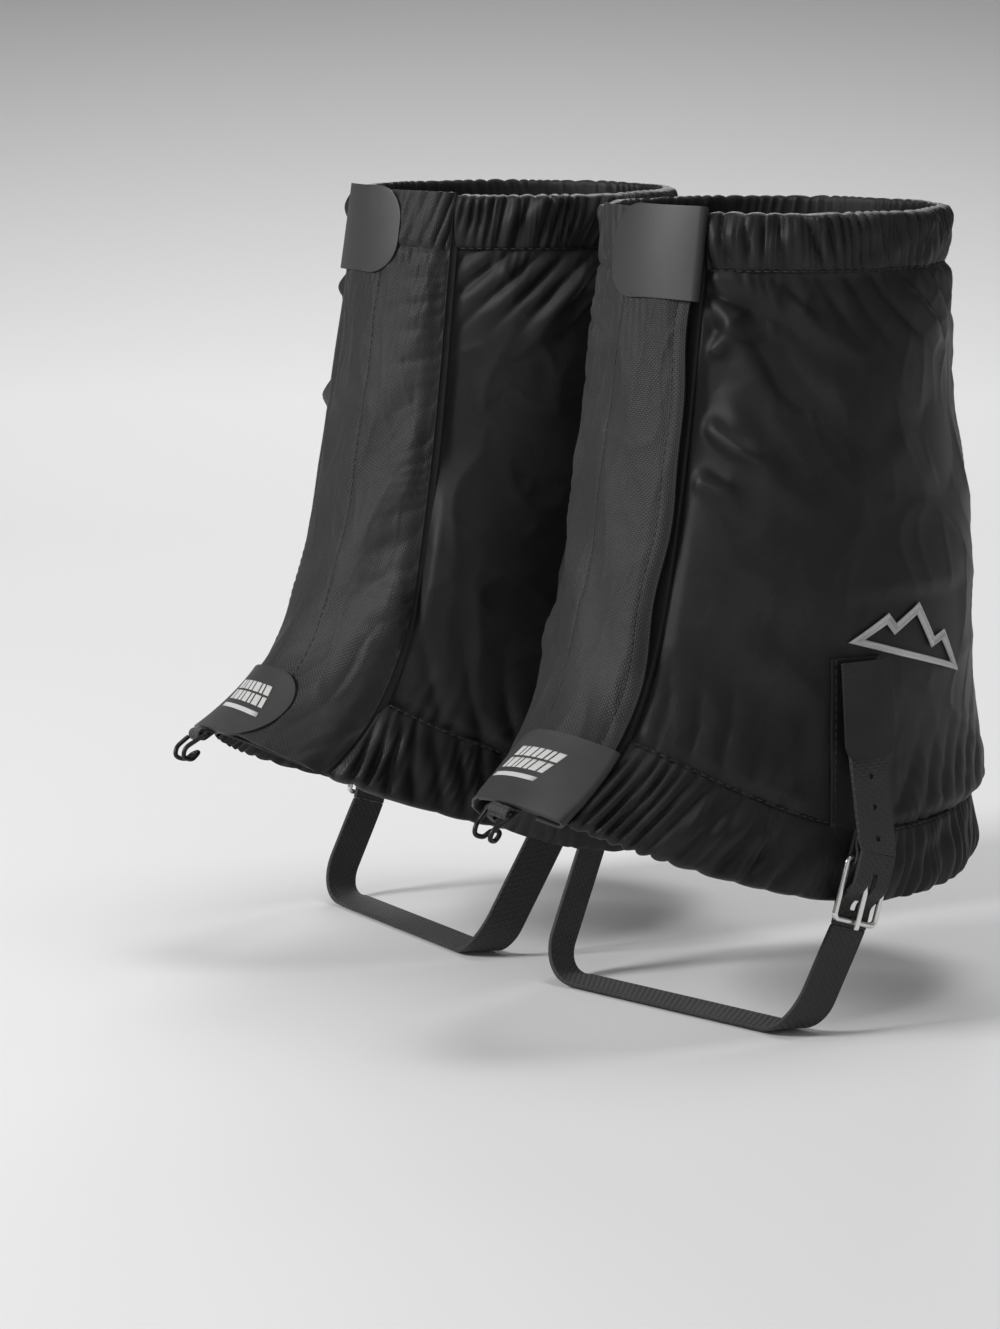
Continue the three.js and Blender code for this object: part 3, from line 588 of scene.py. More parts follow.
def finish(name, colour, roughness, weave=None, depth=0.1, dust=0.4, grain=0.0,
           metallic=0.0, sheen=0.0, spread=0.14, level=0.5):
    """A finish: colour with mottling and dust, roughness that varies with it, and a bump of weave,
    in threads to the metre, and grain, whose depth is in millimetres."""
    material = bpy.data.materials.get(name) or bpy.data.materials.new(name)
    material.use_nodes = True
    tree = material.node_tree
    tree.nodes.clear()
    w = Wiring(tree)
    output = w.node("ShaderNodeOutputMaterial")
    shader = w.node("ShaderNodeBsdfPrincipled", {"Metallic": metallic, "Specular IOR Level": level})
    shader.inputs["Sheen Weight"].default_value = sheen
    shader.inputs["Sheen Roughness"].default_value = 0.4
    place = w.node("ShaderNodeTexCoord")
    handling = w.node("ShaderNodeGroup", node_tree=handling_group())
    handling.inputs["Dust"].default_value = dust
    tree.links.new(place.outputs["Object"], handling.inputs["Vector"])
    dark = [max(0, c * (1 - spread)) for c in colour]
    light = [min(1, c * (1 + spread)) for c in colour]
    mottled = w.node("ShaderNodeMix", data_type="RGBA", links={"Factor": handling.outputs["Mottle"]})
    mottled.inputs[6].default_value = (*dark, 1)
    mottled.inputs[7].default_value = (*light, 1)
    dusted = w.node("ShaderNodeMix", data_type="RGBA", links={"Factor": handling.outputs["Dust"]})
    tree.links.new(mottled.outputs[2], dusted.inputs[6])
    dusted.inputs[7].default_value = DUST
    base = dusted.outputs[2]
    rough = w.node(
        "ShaderNodeMapRange",
        {"To Min": max(0.02, roughness - 0.07), "To Max": min(1, roughness + 0.09)},
        {"Value": handling.outputs["Mottle"]},
    )
    height = w.math("MULTIPLY", handling.outputs["Grain"], grain)
    if weave:
        threads = w.node("ShaderNodeGroup", node_tree=weave_group())
        threads.inputs["Threads across"].default_value = weave[0]
        threads.inputs["Threads along"].default_value = weave[1]
        tree.links.new(place.outputs["UV"], threads.inputs["Vector"])
        height = w.math("ADD", height, threads.outputs["Height"])
        weave_height = {"Value": threads.outputs["Height"]}
        # The weave's height also paints the colour: darker in the hollows between threads as painted shade,
        # lighter on their crowns as painted highlight.
        painted_weave_shade = w.node("ShaderNodeMapRange", {"To Min": 0.72, "To Max": 1.12}, weave_height)
        lit = w.node("ShaderNodeMix", {"Factor": 1.0}, data_type="RGBA", blend_type="MULTIPLY")
        tree.links.new(base, lit.inputs[6])
        tree.links.new(painted_weave_shade.outputs["Result"], lit.inputs[7])
        base = lit.outputs[2]
    bump = w.node("ShaderNodeBump", {"Strength": 1.0, "Distance": depth * 0.001}, {"Height": height})
    tree.links.new(base, shader.inputs["Base Color"])
    tree.links.new(rough.outputs["Result"], shader.inputs["Roughness"])
    tree.links.new(bump.outputs["Normal"], shader.inputs["Normal"])
    tree.links.new(shader.outputs[0], output.inputs["Surface"])
    return material


def finishes():
    """Makes every finish of the pair, from the panel's colours."""
    c = bpy.context.scene.gaiter_colours
    finish("pack_cloth", c.pack_cloth, 0.44, (1900, 1900), 0.05, 0.08, 0.4,
           sheen=0.04, spread=0.16, level=0.3)
    finish("flap_cloth", c.flap_cloth, 0.52, (1500, 1500), 0.07, 0.1, 0.5, sheen=0.05, level=0.32)
    finish("tab_rubber", c.tab_rubber, 0.5, None, 0.03, 0.12, 1.0, spread=0.05, level=0.4)
    finish("elastic", c.webbing, 0.85, (900, 1800), 0.12, 0.2, 0.5)
    finish("hook_and_loop", c.hook_and_loop, 0.95, (1100, 1300), 0.3, 0.2, 1.2)
    finish("webbing", c.webbing, 0.68, (900, 620), 0.16, 0.15, 0.4, sheen=0.1)
    finish("thread", c.thread, 0.5, (3200, 500), 0.08, 0.2, 0.3, sheen=0.2, spread=0.08)
    finish("print", c.print, 0.6, None, 0.03, 0.3, 1.0, spread=0.1)
    finish("nickel", c.nickel, 0.2, None, 0.012, 0.08, 1.0, metallic=1.0, spread=0.05)
    finish("black_wire", c.black_wire, 0.34, None, 0.015, 0.1, 1.0, metallic=0.6)
    finish("seam_thread", c.seam_thread, 0.6, None, 0.05, 0.1, 1.0)


def dressed():
    """The finishes, made once a scene."""
    if "seam_thread" not in bpy.data.materials:
        finishes()
    return {m.name: m for m in bpy.data.materials}


# ---- Settings ----


def length_property(label, words, millimetres):
    """A length setting: in metres, so that the panel shows it with its unit."""
    return FloatProperty(
        name=label, description=words, subtype="DISTANCE", unit="LENGTH", precision=5, min=0,
        default=millimetres / 1000,
    )


class GaiterSizes(PropertyGroup):
    """The sizes that a maker would change."""

    pack_wall: length_property("Pack cloth", "Thickness of the body cloth", 0.55)
    gather_pitch: length_property("Gather pitch", "Width of one gather", 4.4)
    gather_height: length_property("Gather height", "How far a gather stands out", 2.3)
    crease_height: length_property("Crease height", "How far a crease stands out", 0.6)
    fold_height: length_property("Fold height", "How far a broad fold stands out", 4.2)
    stitch_pitch: length_property("Stitch pitch", "From one stitch to the next", 2.9)
    tab_wall: length_property("Tab thickness", "Thickness of a pull tab", 1.1)


def in_millimetres(settings):
    """The panel's lengths, times a thousand."""
    names = GaiterSizes.__annotations__
    return SimpleNamespace(**{name: getattr(settings, name) * 1000 for name in names})


def colour_property(label, words, value):
    """A colour setting."""
    return FloatVectorProperty(name=label, description=words, subtype="COLOR", min=0, max=1, default=value)


class GaiterColours(PropertyGroup):
    """The colours of the finishes, linear."""

    pack_cloth: colour_property("Pack cloth", "Body panels and casings", (0.0066, 0.0067, 0.007))
    flap_cloth: colour_property("Flap cloth", "Front flap and patches", (0.0145, 0.0145, 0.0148))
    tab_rubber: colour_property("Tabs", "Smooth pull tabs", (0.031, 0.031, 0.032))
    webbing: colour_property("Webbing", "Straps and elastic", (0.022, 0.022, 0.023))
    hook_and_loop: colour_property("Closure tape", "Hook and loop tape", (0.012, 0.012, 0.012))
    thread: colour_property("Embroidery", "Side emblem", (0.6, 0.6, 0.61))
    seam_thread: colour_property("Seam thread", "Stitching", (0.02, 0.02, 0.021))
    print: colour_property("Print", "Printed bars on the lower tab", (0.5, 0.5, 0.49))
    nickel: colour_property("Nickel", "Strap buckle", (0.72, 0.72, 0.7))
    black_wire: colour_property("Black wire", "Lace hook", (0.02, 0.02, 0.021))


# ---- Body cloth ----


MEAN_RADIUS = 62
# How far the middle of the body cloth lies outside the leg's surface.
CLOTH_OFF = 0.75


def panel_grid(bearings, sizes, seed, rows=150):
    """A body panel between the two casings: the leg's surface, stood off by gathers that fade from
    each stitch line, broad folds, and fine creases."""
    low = above_hem(bearings, HEM_CASING - 1.2)
    high = below_top(bearings, TOP_CASING - 1.0)
    t = np.linspace(0, 1, rows)[None, :]
    share = low[:, None] + (high - low)[:, None] * t
    bearing = np.broadcast_to(bearings[:, None], share.shape)
    wall = TOP - hem_height(bearing)
    from_top = (high[:, None] - share) * wall
    from_hem = (share - low[:, None]) * wall
    run = np.radians(bearing) * MEAN_RADIUS
    up = share * wall + hem_height(bearing)
    edge = np.minimum(1, np.minimum(bearing - bearings[0], bearings[-1] - bearing) / 4)
    off = np.full(share.shape, CLOTH_OFF)
    pitch = sizes.gather_pitch
    near_top, near_hem = (np.exp(-(((away - at) / over) ** 2)) for away, at, over in
                          ((from_top, 10, 12), (from_hem, 12, 14)))
    off += 1.3 * np.exp(-from_top / 7) * gathers(run, from_top, pitch * 1.1, -0.5, seed)
    off += 2.9 * near_top * gathers(run, from_top, pitch * 2.8, -0.9, seed + 1)
    off += 1.5 * np.exp(-from_hem / 8) * gathers(run, from_hem, pitch * 1.3, 0.3, seed + 2)
    off += 2.4 * near_hem * gathers(run, from_hem, pitch * 3.0, -0.5, seed + 3)
    broad, narrow = creases(run, up, 46, seed + 4), creases(run, up, 21, seed + 5)
    off += sizes.crease_height * (broad + 0.6 * narrow - 0.5)
    off += sizes.fold_height * 0.5 * swell(run, up, 85, seed + 6)
    off += 3.0 * np.exp(-from_hem / 16) * ease(from_hem / 6)
    for line in PANEL_FOLDS:
        off += fold(run, up, *line) * sizes.fold_height
    settle = ease(from_top / 3) * ease(from_hem / 3)
    loose = 1 - 0.93 * under_sewn(bearing, up)
    off = CLOTH_OFF + (off - CLOTH_OFF) * edge * (0.35 + 0.65 * settle) * loose
    return laid(bearing, share, np.maximum(off, -1.2))


# Middle and half size of what is sewn flat to the panels: bearing, height, half width, half height.
SEWN_FLAT = ((76, 87, 8, 34), (95, 124, 20, 10), (284, 51, 8, 14))


def under_sewn(bearing, up):
    """1 where the cloth is held flat by a patch or the emblem, easing to 0 round it."""
    held = 0
    for middle, height, across, tall in SEWN_FLAT:
        sideways = 1 - ease((np.abs(bearing - middle) - across) / 7)
        held = np.maximum(held, sideways * (1 - ease((np.abs(up - height) - tall) / 7)))
    return held


# Start and end of a fold (distance round the leg, height), its half width, and its height as a
# share of the fold height.
PANEL_FOLDS = (
    ((25, 196), (52, 180), 3.2, 0.9),
    ((24, 178), (44, 170), 3.0, 0.6),
    ((24, 212), (38, 232), 3.0, 0.7),
    ((46, 212), (78, 196), 4.0, -0.5),
    ((26, 238), (58, 196), 4.5, 0.75),
    ((36, 226), (92, 176), 6.0, -0.6),
    ((30, 204), (70, 160), 5.0, 0.6),
    ((52, 236), (84, 212), 3.6, 0.6),
    ((98, 238), (122, 214), 4.0, 0.55),
    ((88, 190), (128, 170), 7.0, 0.5),
    ((40, 132), (76, 104), 6.0, 0.55),
    ((150, 230), (186, 190), 6.0, 0.6),
    ((205, 236), (240, 196), 5.0, 0.6),
    ((262, 230), (300, 186), 6.0, 0.6),
    ((225, 150), (270, 120), 7.0, 0.5),
    ((300, 236), (326, 206), 4.0, 0.6),
)


class GAITER_OT_body_cloth(Operator):
    """Make the body panels, the underflap and the seam tape of both gaiters."""

    bl_idname = "gaiter.body_cloth"
    bl_label = "Body Cloth"

    def execute(self, context):
        sizes = in_millimetres(context.scene.gaiter_sizes)
        wall = sizes.pack_wall
        panels = (
            ("outer_panel", np.linspace(OPENING[1] + 0.4, 180, 170), 11, 0.2),
            ("inner_panel", np.linspace(180, 360 + OPENING[0] - 0.4, 160), 31, 0.185),
        )
        for side in SIDES:
            for name, bearings, seed, width in panels:
                cloth = stand(panel_grid(bearings, sizes, seed))
                panel = made(side, name, cloth, "pack_cloth", wall=wall)
            bearing, share = spread(np.linspace(*OPENING, 46), np.linspace(0, 1, 120))
            wave = 0.15 * swell(bearing, share * 190, 30, 51)
            under = stand(laid(bearing, share, 0.45 + wave))
            under = made(side, "front_underflap", under, "pack_cloth", wall=wall)
            bearings = np.linspace(172, 188, 12)[:, None]
            low, high = above_hem(bearings, HEM_CASING), below_top(bearings, TOP_CASING)
            share = low + (high - low) * np.linspace(0, 1, 90)
            tape = stand(laid(bearings, share, np.full(share.shape, -1.6)))
            tape = made(side, "back_seam_tape", tape, "elastic", wall=0.5)
        return {"FINISHED"}


# ---- Casings and elastic ----


def casing_grid(height, sizes, seed, top):
    """A gathered tunnel of cloth: from the stitch line out over the elastic, round the free fold
    and back up inside, with gathers that are tight at the stitch line and full between."""
    bearings = np.linspace(OPENING[1] + 0.5, 360 + OPENING[0] - 0.5, 560)
    turn = np.linspace(0, 1, 44)
    bulge, sink = 2.75, -0.7
    # The share of the section that is its outer wall; the rest comes back inside.
    outside = 0.56
    going = np.sin(np.minimum(turn, outside) / outside * np.pi / 2) ** 0.9
    coming = (1 - (turn - outside) / (1 - outside)) ** 0.92
    distance = height * np.where(turn < outside, going, coming)
    outer_profile = CLOTH_OFF + bulge * np.sin(np.pi * np.clip(turn / outside, 0, 1)) ** 0.62
    fold_in = ease((turn - 0.46) / 0.14)
    base = outer_profile * (1 - fold_in) + sink * fold_in
    full = np.sin(np.pi * np.clip(turn / 0.6, 0, 1)) ** 0.7 * (1 - fold_in * 0.75) + 0.22
    bearing = np.broadcast_to(bearings[:, None], (len(bearings), len(turn)))
    away = np.broadcast_to(distance[None, :], bearing.shape)
    run = np.radians(bearing) * (60 if top else 66)
    front = np.exp(-((bearing - OPENING[1]) / 45)) + np.exp(-((360 + OPENING[0] - bearing) / 45))
    pitch = sizes.gather_pitch * (1.15 if top else 1.35)
    ridges = gathers(run, away, pitch, 0.28, seed) + 0.35 * gathers(run, away, pitch * 0.52, 0.1, seed + 1)
    ridges = ridges + 0.3 * swell(run, away * 2, 26, seed + 2)
    size = sizes.gather_height * (0.95 if top else 1.05) * (1 + 0.25 * front)
    if not top:
        by_strap = np.exp(-(((bearing - 284) / 10) ** 2)) + np.exp(-(((bearing - 76) / 9) ** 2))
        size = size * (1 - 0.8 * by_strap)
    ends = ease(np.minimum(bearing - bearings[0], bearings[-1] - bearing) / 2.5)
    off = base[None, :] + size * full[None, :] * ridges * (0.3 + 0.7 * ends)
    ripple = 0.9 * np.exp(-((height - away) / 4) ** 2) * gathers(run, 0 * away, pitch * 1.1, 0, seed)
    along_fold = away + ripple * (0.5 + ends * 0.5)
    share = below_top(bearing, height - along_fold) if top else above_hem(bearing, height - along_fold)
    return laid(bearing, share, off)


def elastic_grid(height, top):
    """A flat band inside its casing: a squared-off oval section carried round the leg, with ribs
    along it, and drawn in to a point at each end so that it is closed."""
    bearings = np.linspace(OPENING[1] + 1, 360 + OPENING[0] - 1, 240)
    bearings = np.concatenate([bearings[:1], bearings, bearings[-1:]])
    size = np.ones((len(bearings), 1))
    size[[0, -1]] = 0
    turn = np.linspace(0, 2 * np.pi, 56, endpoint=False)
    half, middle = height / 2 - 6.5, 0.58
    across = half * np.sign(np.cos(turn)) * np.abs(np.cos(turn)) ** 0.6
    through = (0.6 + 0.08 * np.cos(across * 5)) * np.sign(np.sin(turn)) * np.abs(np.sin(turn)) ** 0.3
    away = height / 2 + size * across
    share = below_top(bearings[:, None], away) if top else above_hem(bearings[:, None], away)
    return laid(bearings[:, None] + 0 * away, share, middle + size * through)


class GAITER_OT_casings(Operator):
    """Make the gathered casings at the top edge and the hem, and the elastic in them."""

    bl_idname = "gaiter.casings"
    bl_label = "Casings"

    def execute(self, context):
        sizes = in_millimetres(context.scene.gaiter_sizes)
        edges = (("top", TOP_CASING, 71, (0.3808, 0.04)), ("hem", HEM_CASING, 91, (0.4816, 0.052)))
        for side in SIDES:
            for edge, height, seed, flat in edges:
                cloth = stand(casing_grid(height, sizes, seed, edge == "top"))
                casing = made(side, f"{edge}_casing", cloth, "pack_cloth", wall=0.4, flip=edge == "hem")
            for edge, height, _, _ in edges:
                band = stand(elastic_grid(height, edge == "top"))
                made(side, f"{edge}_elastic", band, "elastic", loop=(False, True))
        return {"FINISHED"}


# ---- The front flap ----


FRONT_HEIGHT = 190
# Bearings of the flap's sewn edge and of its two rows of stitches, and the height of the top
# casing's seam up the front.
FLAP_SEAM = -35.2
FLAP_ROWS = (-8.5, 14.2)
CASING_SEAM = 171.5


def flap_cloth(bearing, share):
    """The flap: raised over the closure tape, dipping to the seam at its sewn edge, where puckers
    pull at it, and wavy at its free edge. Returns the bearing, moved by the wave, and the stand-off."""
    up = share * FRONT_HEIGHT
    from_seam = bearing - FLAP_SEAM
    rise = ease(from_seam / 6.5)
    off = 2.6 + (FLAP_MIDDLE - 2.6) * rise
    off += 1.3 * np.exp(-from_seam / 5) * gathers(up, from_seam, 6.2, 0.5, 121) * ease(from_seam / 1.5)
    off += 0.9 * np.exp(-(((from_seam - 9) / 7) ** 2)) * gathers(up, from_seam, 15, 0.9, 122)
    middle = ease((bearing + 33) / 6) * ease((FLAP[1] - bearing) / 5)
    off += middle * (0.8 * swell(bearing * 2.2, up, 50, 123) + 0.35 * creases(bearing * 2.6, up, 40, 124))
    off += middle * 0.14 * creases(bearing * 2, up, 16, 125)
    under_tab = np.exp(-np.maximum(0, 160 - up) / 16) * (up < 186)
    off += 0.4 * under_tab * middle * gathers(bearing, up, 3.4, 0.12, 126)
    beside_tab = ease((-14.5 - bearing) / 2.5) * ease(from_seam / 1.5)
    in_casing = ease((up - CASING_SEAM) / 1.6)
    off += 1.5 * beside_tab * in_casing * (0.25 + gathers(bearing, up, 4.6, 0.28, 127))
    below = np.exp(-np.maximum(0, CASING_SEAM - up) / 9) * (1 - in_casing)
    off += beside_tab * below * gathers(bearing, up, 5.2, -0.4, 128)
    off -= 0.9 * beside_tab * np.exp(-(((up - CASING_SEAM) / 1.1) ** 2))
    bulge = np.exp(-(((from_seam - 4) / 5) ** 2) - ((up - 52) / 11) ** 2)
    off += 2.6 * bulge
    off = np.maximum(off, 1.6 + 2.2 * rise)
    off -= 0.22 * sum(np.exp(-(((bearing - row) / 0.8) ** 2)) for row in FLAP_ROWS)
    off -= 0.35 * np.exp(-(((FLAP[1] - bearing) / 1.2) ** 2))
    wave = 0.8 * np.sin(up / 13.5) + 0.5 * np.sin(up / 7.1 + 1.7)
    return bearing + wave * ease((bearing - 4) / 13) - 1.2 * bulge * (from_seam < 6), off


def flap_grid():
    """The flap's cloth, with closer columns beside its sewn edge."""
    bearings = np.concatenate([np.linspace(FLAP_SEAM, -28, 26), np.linspace(-27.6, FLAP[1] + 0.3, 84)])
    bearing, share = spread(bearings, np.linspace(-0.004, 1.004, 190))
    moved, off = flap_cloth(bearing, share)
    return laid(moved, share, off)


def closure_grid(edge, off, columns=24):
    """A strip of closure tape up the front, with a slight wave."""
    bearing, share = spread(np.linspace(edge - 18, edge, columns), np.linspace(0.115, 0.826, 150))
    return laid(bearing, share, off + 0.05 * swell(bearing, share * FRONT_HEIGHT, 3, 131))


def binding_grid():
    """The flap's turned edge: a half round roll across it, with the puckers of the seam."""
    bearing, share = spread(np.linspace(-37.2, -32.6, 14), np.linspace(0, 1, 180))
    roll = np.maximum(0, np.sin(np.pi * (bearing + 37.2) / 4.6)) ** 0.5
    pucker = 0.2 * gathers(share * FRONT_HEIGHT, bearing, 6.2, 0.5, 121)
    return laid(bearing, share, 1.1 + 0.6 * roll + pucker * roll)


class GAITER_OT_front_flap(Operator):
    """Make the front flap, its binding and the two closure tapes."""

    bl_idname = "gaiter.front_flap"
    bl_label = "Front Flap"

    def execute(self, context):
        # Bearings for where the flap would start to turn about its joint and where it would have turned;
        # the two points made from them below are not used.
        turning = (-31.5, -22.0)
        tapes = (("front_hook_tape", 1.75, "gaiter"), ("flap_loop_tape", 3.15, "flap"))
        for side in SIDES:
            sign = 1 if side == "left" else -1
            flap = grid_piece("front_flap", stand(flap_grid()), side, dressed()["flap_cloth"])
            soften(thicken(flap, 0.8), 0.25)
            start, end = (stand(np.array([x, -60.0, 100.0])) * 0.001 * [sign, 1, 1] for x in turning)
            tuple(start)
            tuple(end)
            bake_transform(flap)
            stands_for(flap, side, "flap_cloth", "front_flap")
            binding = made(side, "flap_binding", stand(binding_grid()), "flap_cloth", wall=0.5)
            for name, off, body in tapes:
                tape = made(side, name, stand(closure_grid(15, off)), "hook_and_loop", body, wall=0.7)
        return {"FINISHED"}


# ---- Pull tabs and the printed label ----


def tab_edge(distance, height, corner):
    """How far a tab's end is drawn back by its round corner, at a distance across it."""
    into = np.clip(np.abs(distance - height / 2) - (height / 2 - corner), 0, corner)
    return corner - np.sqrt(corner**2 - into**2)


def tab_crown(across, length):
    """How far a tab is puffed out: a sine across it times a sine along it."""
    return 0.35 * np.sin(np.pi * np.clip(across, 0, 1)) * np.sin(np.pi * length) ** 0.8


def tab_grid(height, corner, share_at):
    """A tab: a smooth sheet from its round end over the flap, round the free edge in a half
    circle, and a little way back behind it."""
    closer = 0.5 - 0.5 * np.cos(np.pi * np.linspace(0.05, 0.95, 46))
    distance = np.concatenate([[0.0], height * closer, [height]])
    edge = FLAP[1] + 0.6
    t = np.linspace(0, 1, 60)
    bend = np.linspace(0, np.pi, 13)[1:-1]
    behind = np.linspace(edge, FLAP[1] - 5, 8)
    radius = (TAB_OUTER - TAB_INNER) / 2
    middle = (TAB_OUTER + TAB_INNER) / 2
    rows = []
    for d, drawn in zip(distance, tab_edge(distance, height, corner)):
        end = FLAP[1] - TAB_REACH + drawn
        bearing = np.concatenate([end + (edge - end) * t, edge + radius * 0.9 * np.sin(bend), behind])
        over = TAB_OUTER + tab_crown(d / height, t) - 0.35 * (1 - t) ** 6
        off = np.concatenate([over, middle + radius * np.cos(bend), np.full(8, TAB_INNER)])
        rows.append(np.stack([bearing, np.full(bearing.shape, d), off], -1))
    shape = np.stack(rows, 1)
    return laid(shape[..., 0], share_at(shape[..., 1]), shape[..., 2])


def upper_tab_share(distance):
    """The upper tab's lower edge is its height, less a little, below the top edge."""
    return below_top(0, UPPER_TAB - 1.5 - distance)


def lower_tab_share(distance):
    """The lower tab starts a little below the hem."""
    return above_hem(0, distance - 2)


def label_marks():
    """The print's low and high edge and its start and end: two rows of marks of several widths,
    and a bar under them."""
    rows = ((8.2, (1.6, 2.4, 1.2, 2.2, 1.4, 2.6, 1.8)), (11.6, (2.2, 1.2, 2.6, 1.6, 2.0, 1.2, 2.4)))
    for bottom, widths in rows:
        x = 4.5
        for width in widths:
            yield bottom, bottom + 2.8, x, x + width
            x += width + 0.55
    yield 5.8, 6.9, 4.5, 21.5


def label_arrays():
    """The printed marks, each a small slanted grid laid on the lower tab."""
    columns, rows = 8, 7
    lots = []
    for low, high, start, end in label_marks():
        u, v = spread(np.linspace(start, end, columns), np.linspace(low, high, rows))
        along_tab = u + 0.45 * (v - 5)
        off = TAB_OUTER + 0.62 + tab_crown(v / LOWER_TAB, along_tab / TAB_REACH)
        grid = stand(laid(FLAP[1] - TAB_REACH + along_tab, lower_tab_share(v), off)) * 0.001
        index = np.arange(columns * rows).reshape(columns, rows)
        lots.append((grid.reshape(-1, 3), cells(index).reshape(-1, 4)))
    return joined(lots)


class GAITER_OT_pull_tabs(Operator):
    """Make the pull tabs at the top edge and the instep, and the printed bars on the lower one."""

    bl_idname = "gaiter.pull_tabs"
    bl_label = "Pull Tabs"

    def execute(self, context):
        wall = in_millimetres(context.scene.gaiter_sizes).tab_wall
        tabs = (
            ("upper_tab", UPPER_TAB, 11.5, upper_tab_share, (0.044, 0.029)),
            ("lower_tab", LOWER_TAB, 9.6, lower_tab_share, (0.075, 0.021)),
        )
        for side in SIDES:
            for name, height, corner, share_at, flat in tabs:
                rubber = stand(tab_grid(height, corner, share_at))
                tab = made(side, name, rubber, "tab_rubber", "flap", wall=wall, rounded=0.35, segments=3)
            points, quads = label_arrays()
            if side == "right":
                points, quads = points * np.array([-1, 1, 1]), quads[:, ::-1]
            label = mesh_piece(f"{side}_tab_label", points, quads, dressed()["print"])
            worn(thicken(label, 0.12), side, "flap", "print", "tab_label")
        return {"FINISHED"}


# ---- The emblem ----

PEAKS = ((-0.5, -0.5), (0.5, -0.5), (0.27, 0.1), (0.17, -0.12), (-0.06, 0.5), (-0.22, -0.05), (-0.31, 0.12))


def emblem_grid(width=45, tall=15, tilt=18, bearing=95, height=124, stroke=2.9):
    """Satin stitch round an outline of peaks: a low rounded ribbon whose top carries thread after
    thread as a fine sine, mitred at its corners."""
    turn = math.radians(-tilt)
    c, s = math.cos(turn), math.sin(turn)
    corners = np.array(PEAKS) * [width, tall] @ np.array([[c, s], [-s, c]])
    ahead, behind = np.roll(corners, -1, 0) - corners, corners - np.roll(corners, 1, 0)
    ahead /= np.linalg.norm(ahead, axis=1, keepdims=True)
    behind /= np.linalg.norm(behind, axis=1, keepdims=True)
    way = ahead + behind
    way /= np.linalg.norm(way, axis=1, keepdims=True)
    mitre = np.stack([-way[:, 1], way[:, 0]], 1) / np.maximum((way * behind).sum(1), 0.5)[:, None]
    t = np.linspace(0, 1, 60, endpoint=False)[:, None]
    blend = lambda values: np.vstack([a + (b - a) * t for a, b in zip(values, np.roll(values, -1, 0))])
    middle, across = blend(corners), blend(mitre)
    share = np.linspace(-1, 1, 9)
    flat = middle[:, None] + across[:, None] * share[None, :, None] * stroke / 2
    thread = np.sin(np.arange(len(middle)) * 2 * np.pi / 3)
    loft = np.sqrt(1 - 0.92 * share**2) + 0.16 * thread[:, None] * (1 - share**2)
    millimetres_a_degree = 1.12
    spot = bearing + flat[..., 0] / millimetres_a_degree
    up = above_hem(spot, height + flat[..., 1] - hem_height(spot))
    return laid(spot, up, 1.6 + loft)


class GAITER_OT_emblem(Operator):
    """Make the embroidered peaks on each outer side."""

    bl_idname = "gaiter.emblem"
    bl_label = "Emblem"

    def execute(self, context):
        ribbon = stand(emblem_grid())
        for side in SIDES:
            made(side, "side_emblem", ribbon, "thread", wall=0.6, offset=-1, loop=(True, False))
        return {"FINISHED"}


# ---- Side strap ----


PATCH_CENTRE = -20.0
PATCH_WIDTH = 18
KEEPER_LENGTH = 31
TAIL_LENGTH = 38
TAIL_TIP_OUT = 1.95
# From the bar to where the strap under the sole begins, down the buckle's own axis.
STRAP_START = 22.02
FLAT_ACROSS = np.array([0.0, 1.0, 0.0])


def round_corners(left, corner):
    """How far an edge is drawn back by a quarter circle, from the distance left to its end."""
    return np.where(left < corner, corner - np.sqrt(np.maximum(0, corner**2 - (corner - left) ** 2)), 0)


def patch_sheet(low, high, off, outer, wave_seed, corner=3):
    """A sewn patch that lies on the cloth beside the strap, with round lower corners."""
    t = np.linspace(-1, 1, 30)[:, None]
    heights = np.linspace(low, high, 90)
    drawn = round_corners(heights - low, corner)
    back = PATCH_CENTRE + t * (PATCH_WIDTH / 2 - drawn)
    bearing, share = leg_spot(back, heights + 0 * back)
    puff = 0.35 * (1 - np.abs(t) ** 6) + 0.12 * swell(back, heights + 0 * back, 14, wave_seed)
    return laid(outer * bearing, share, off + puff)


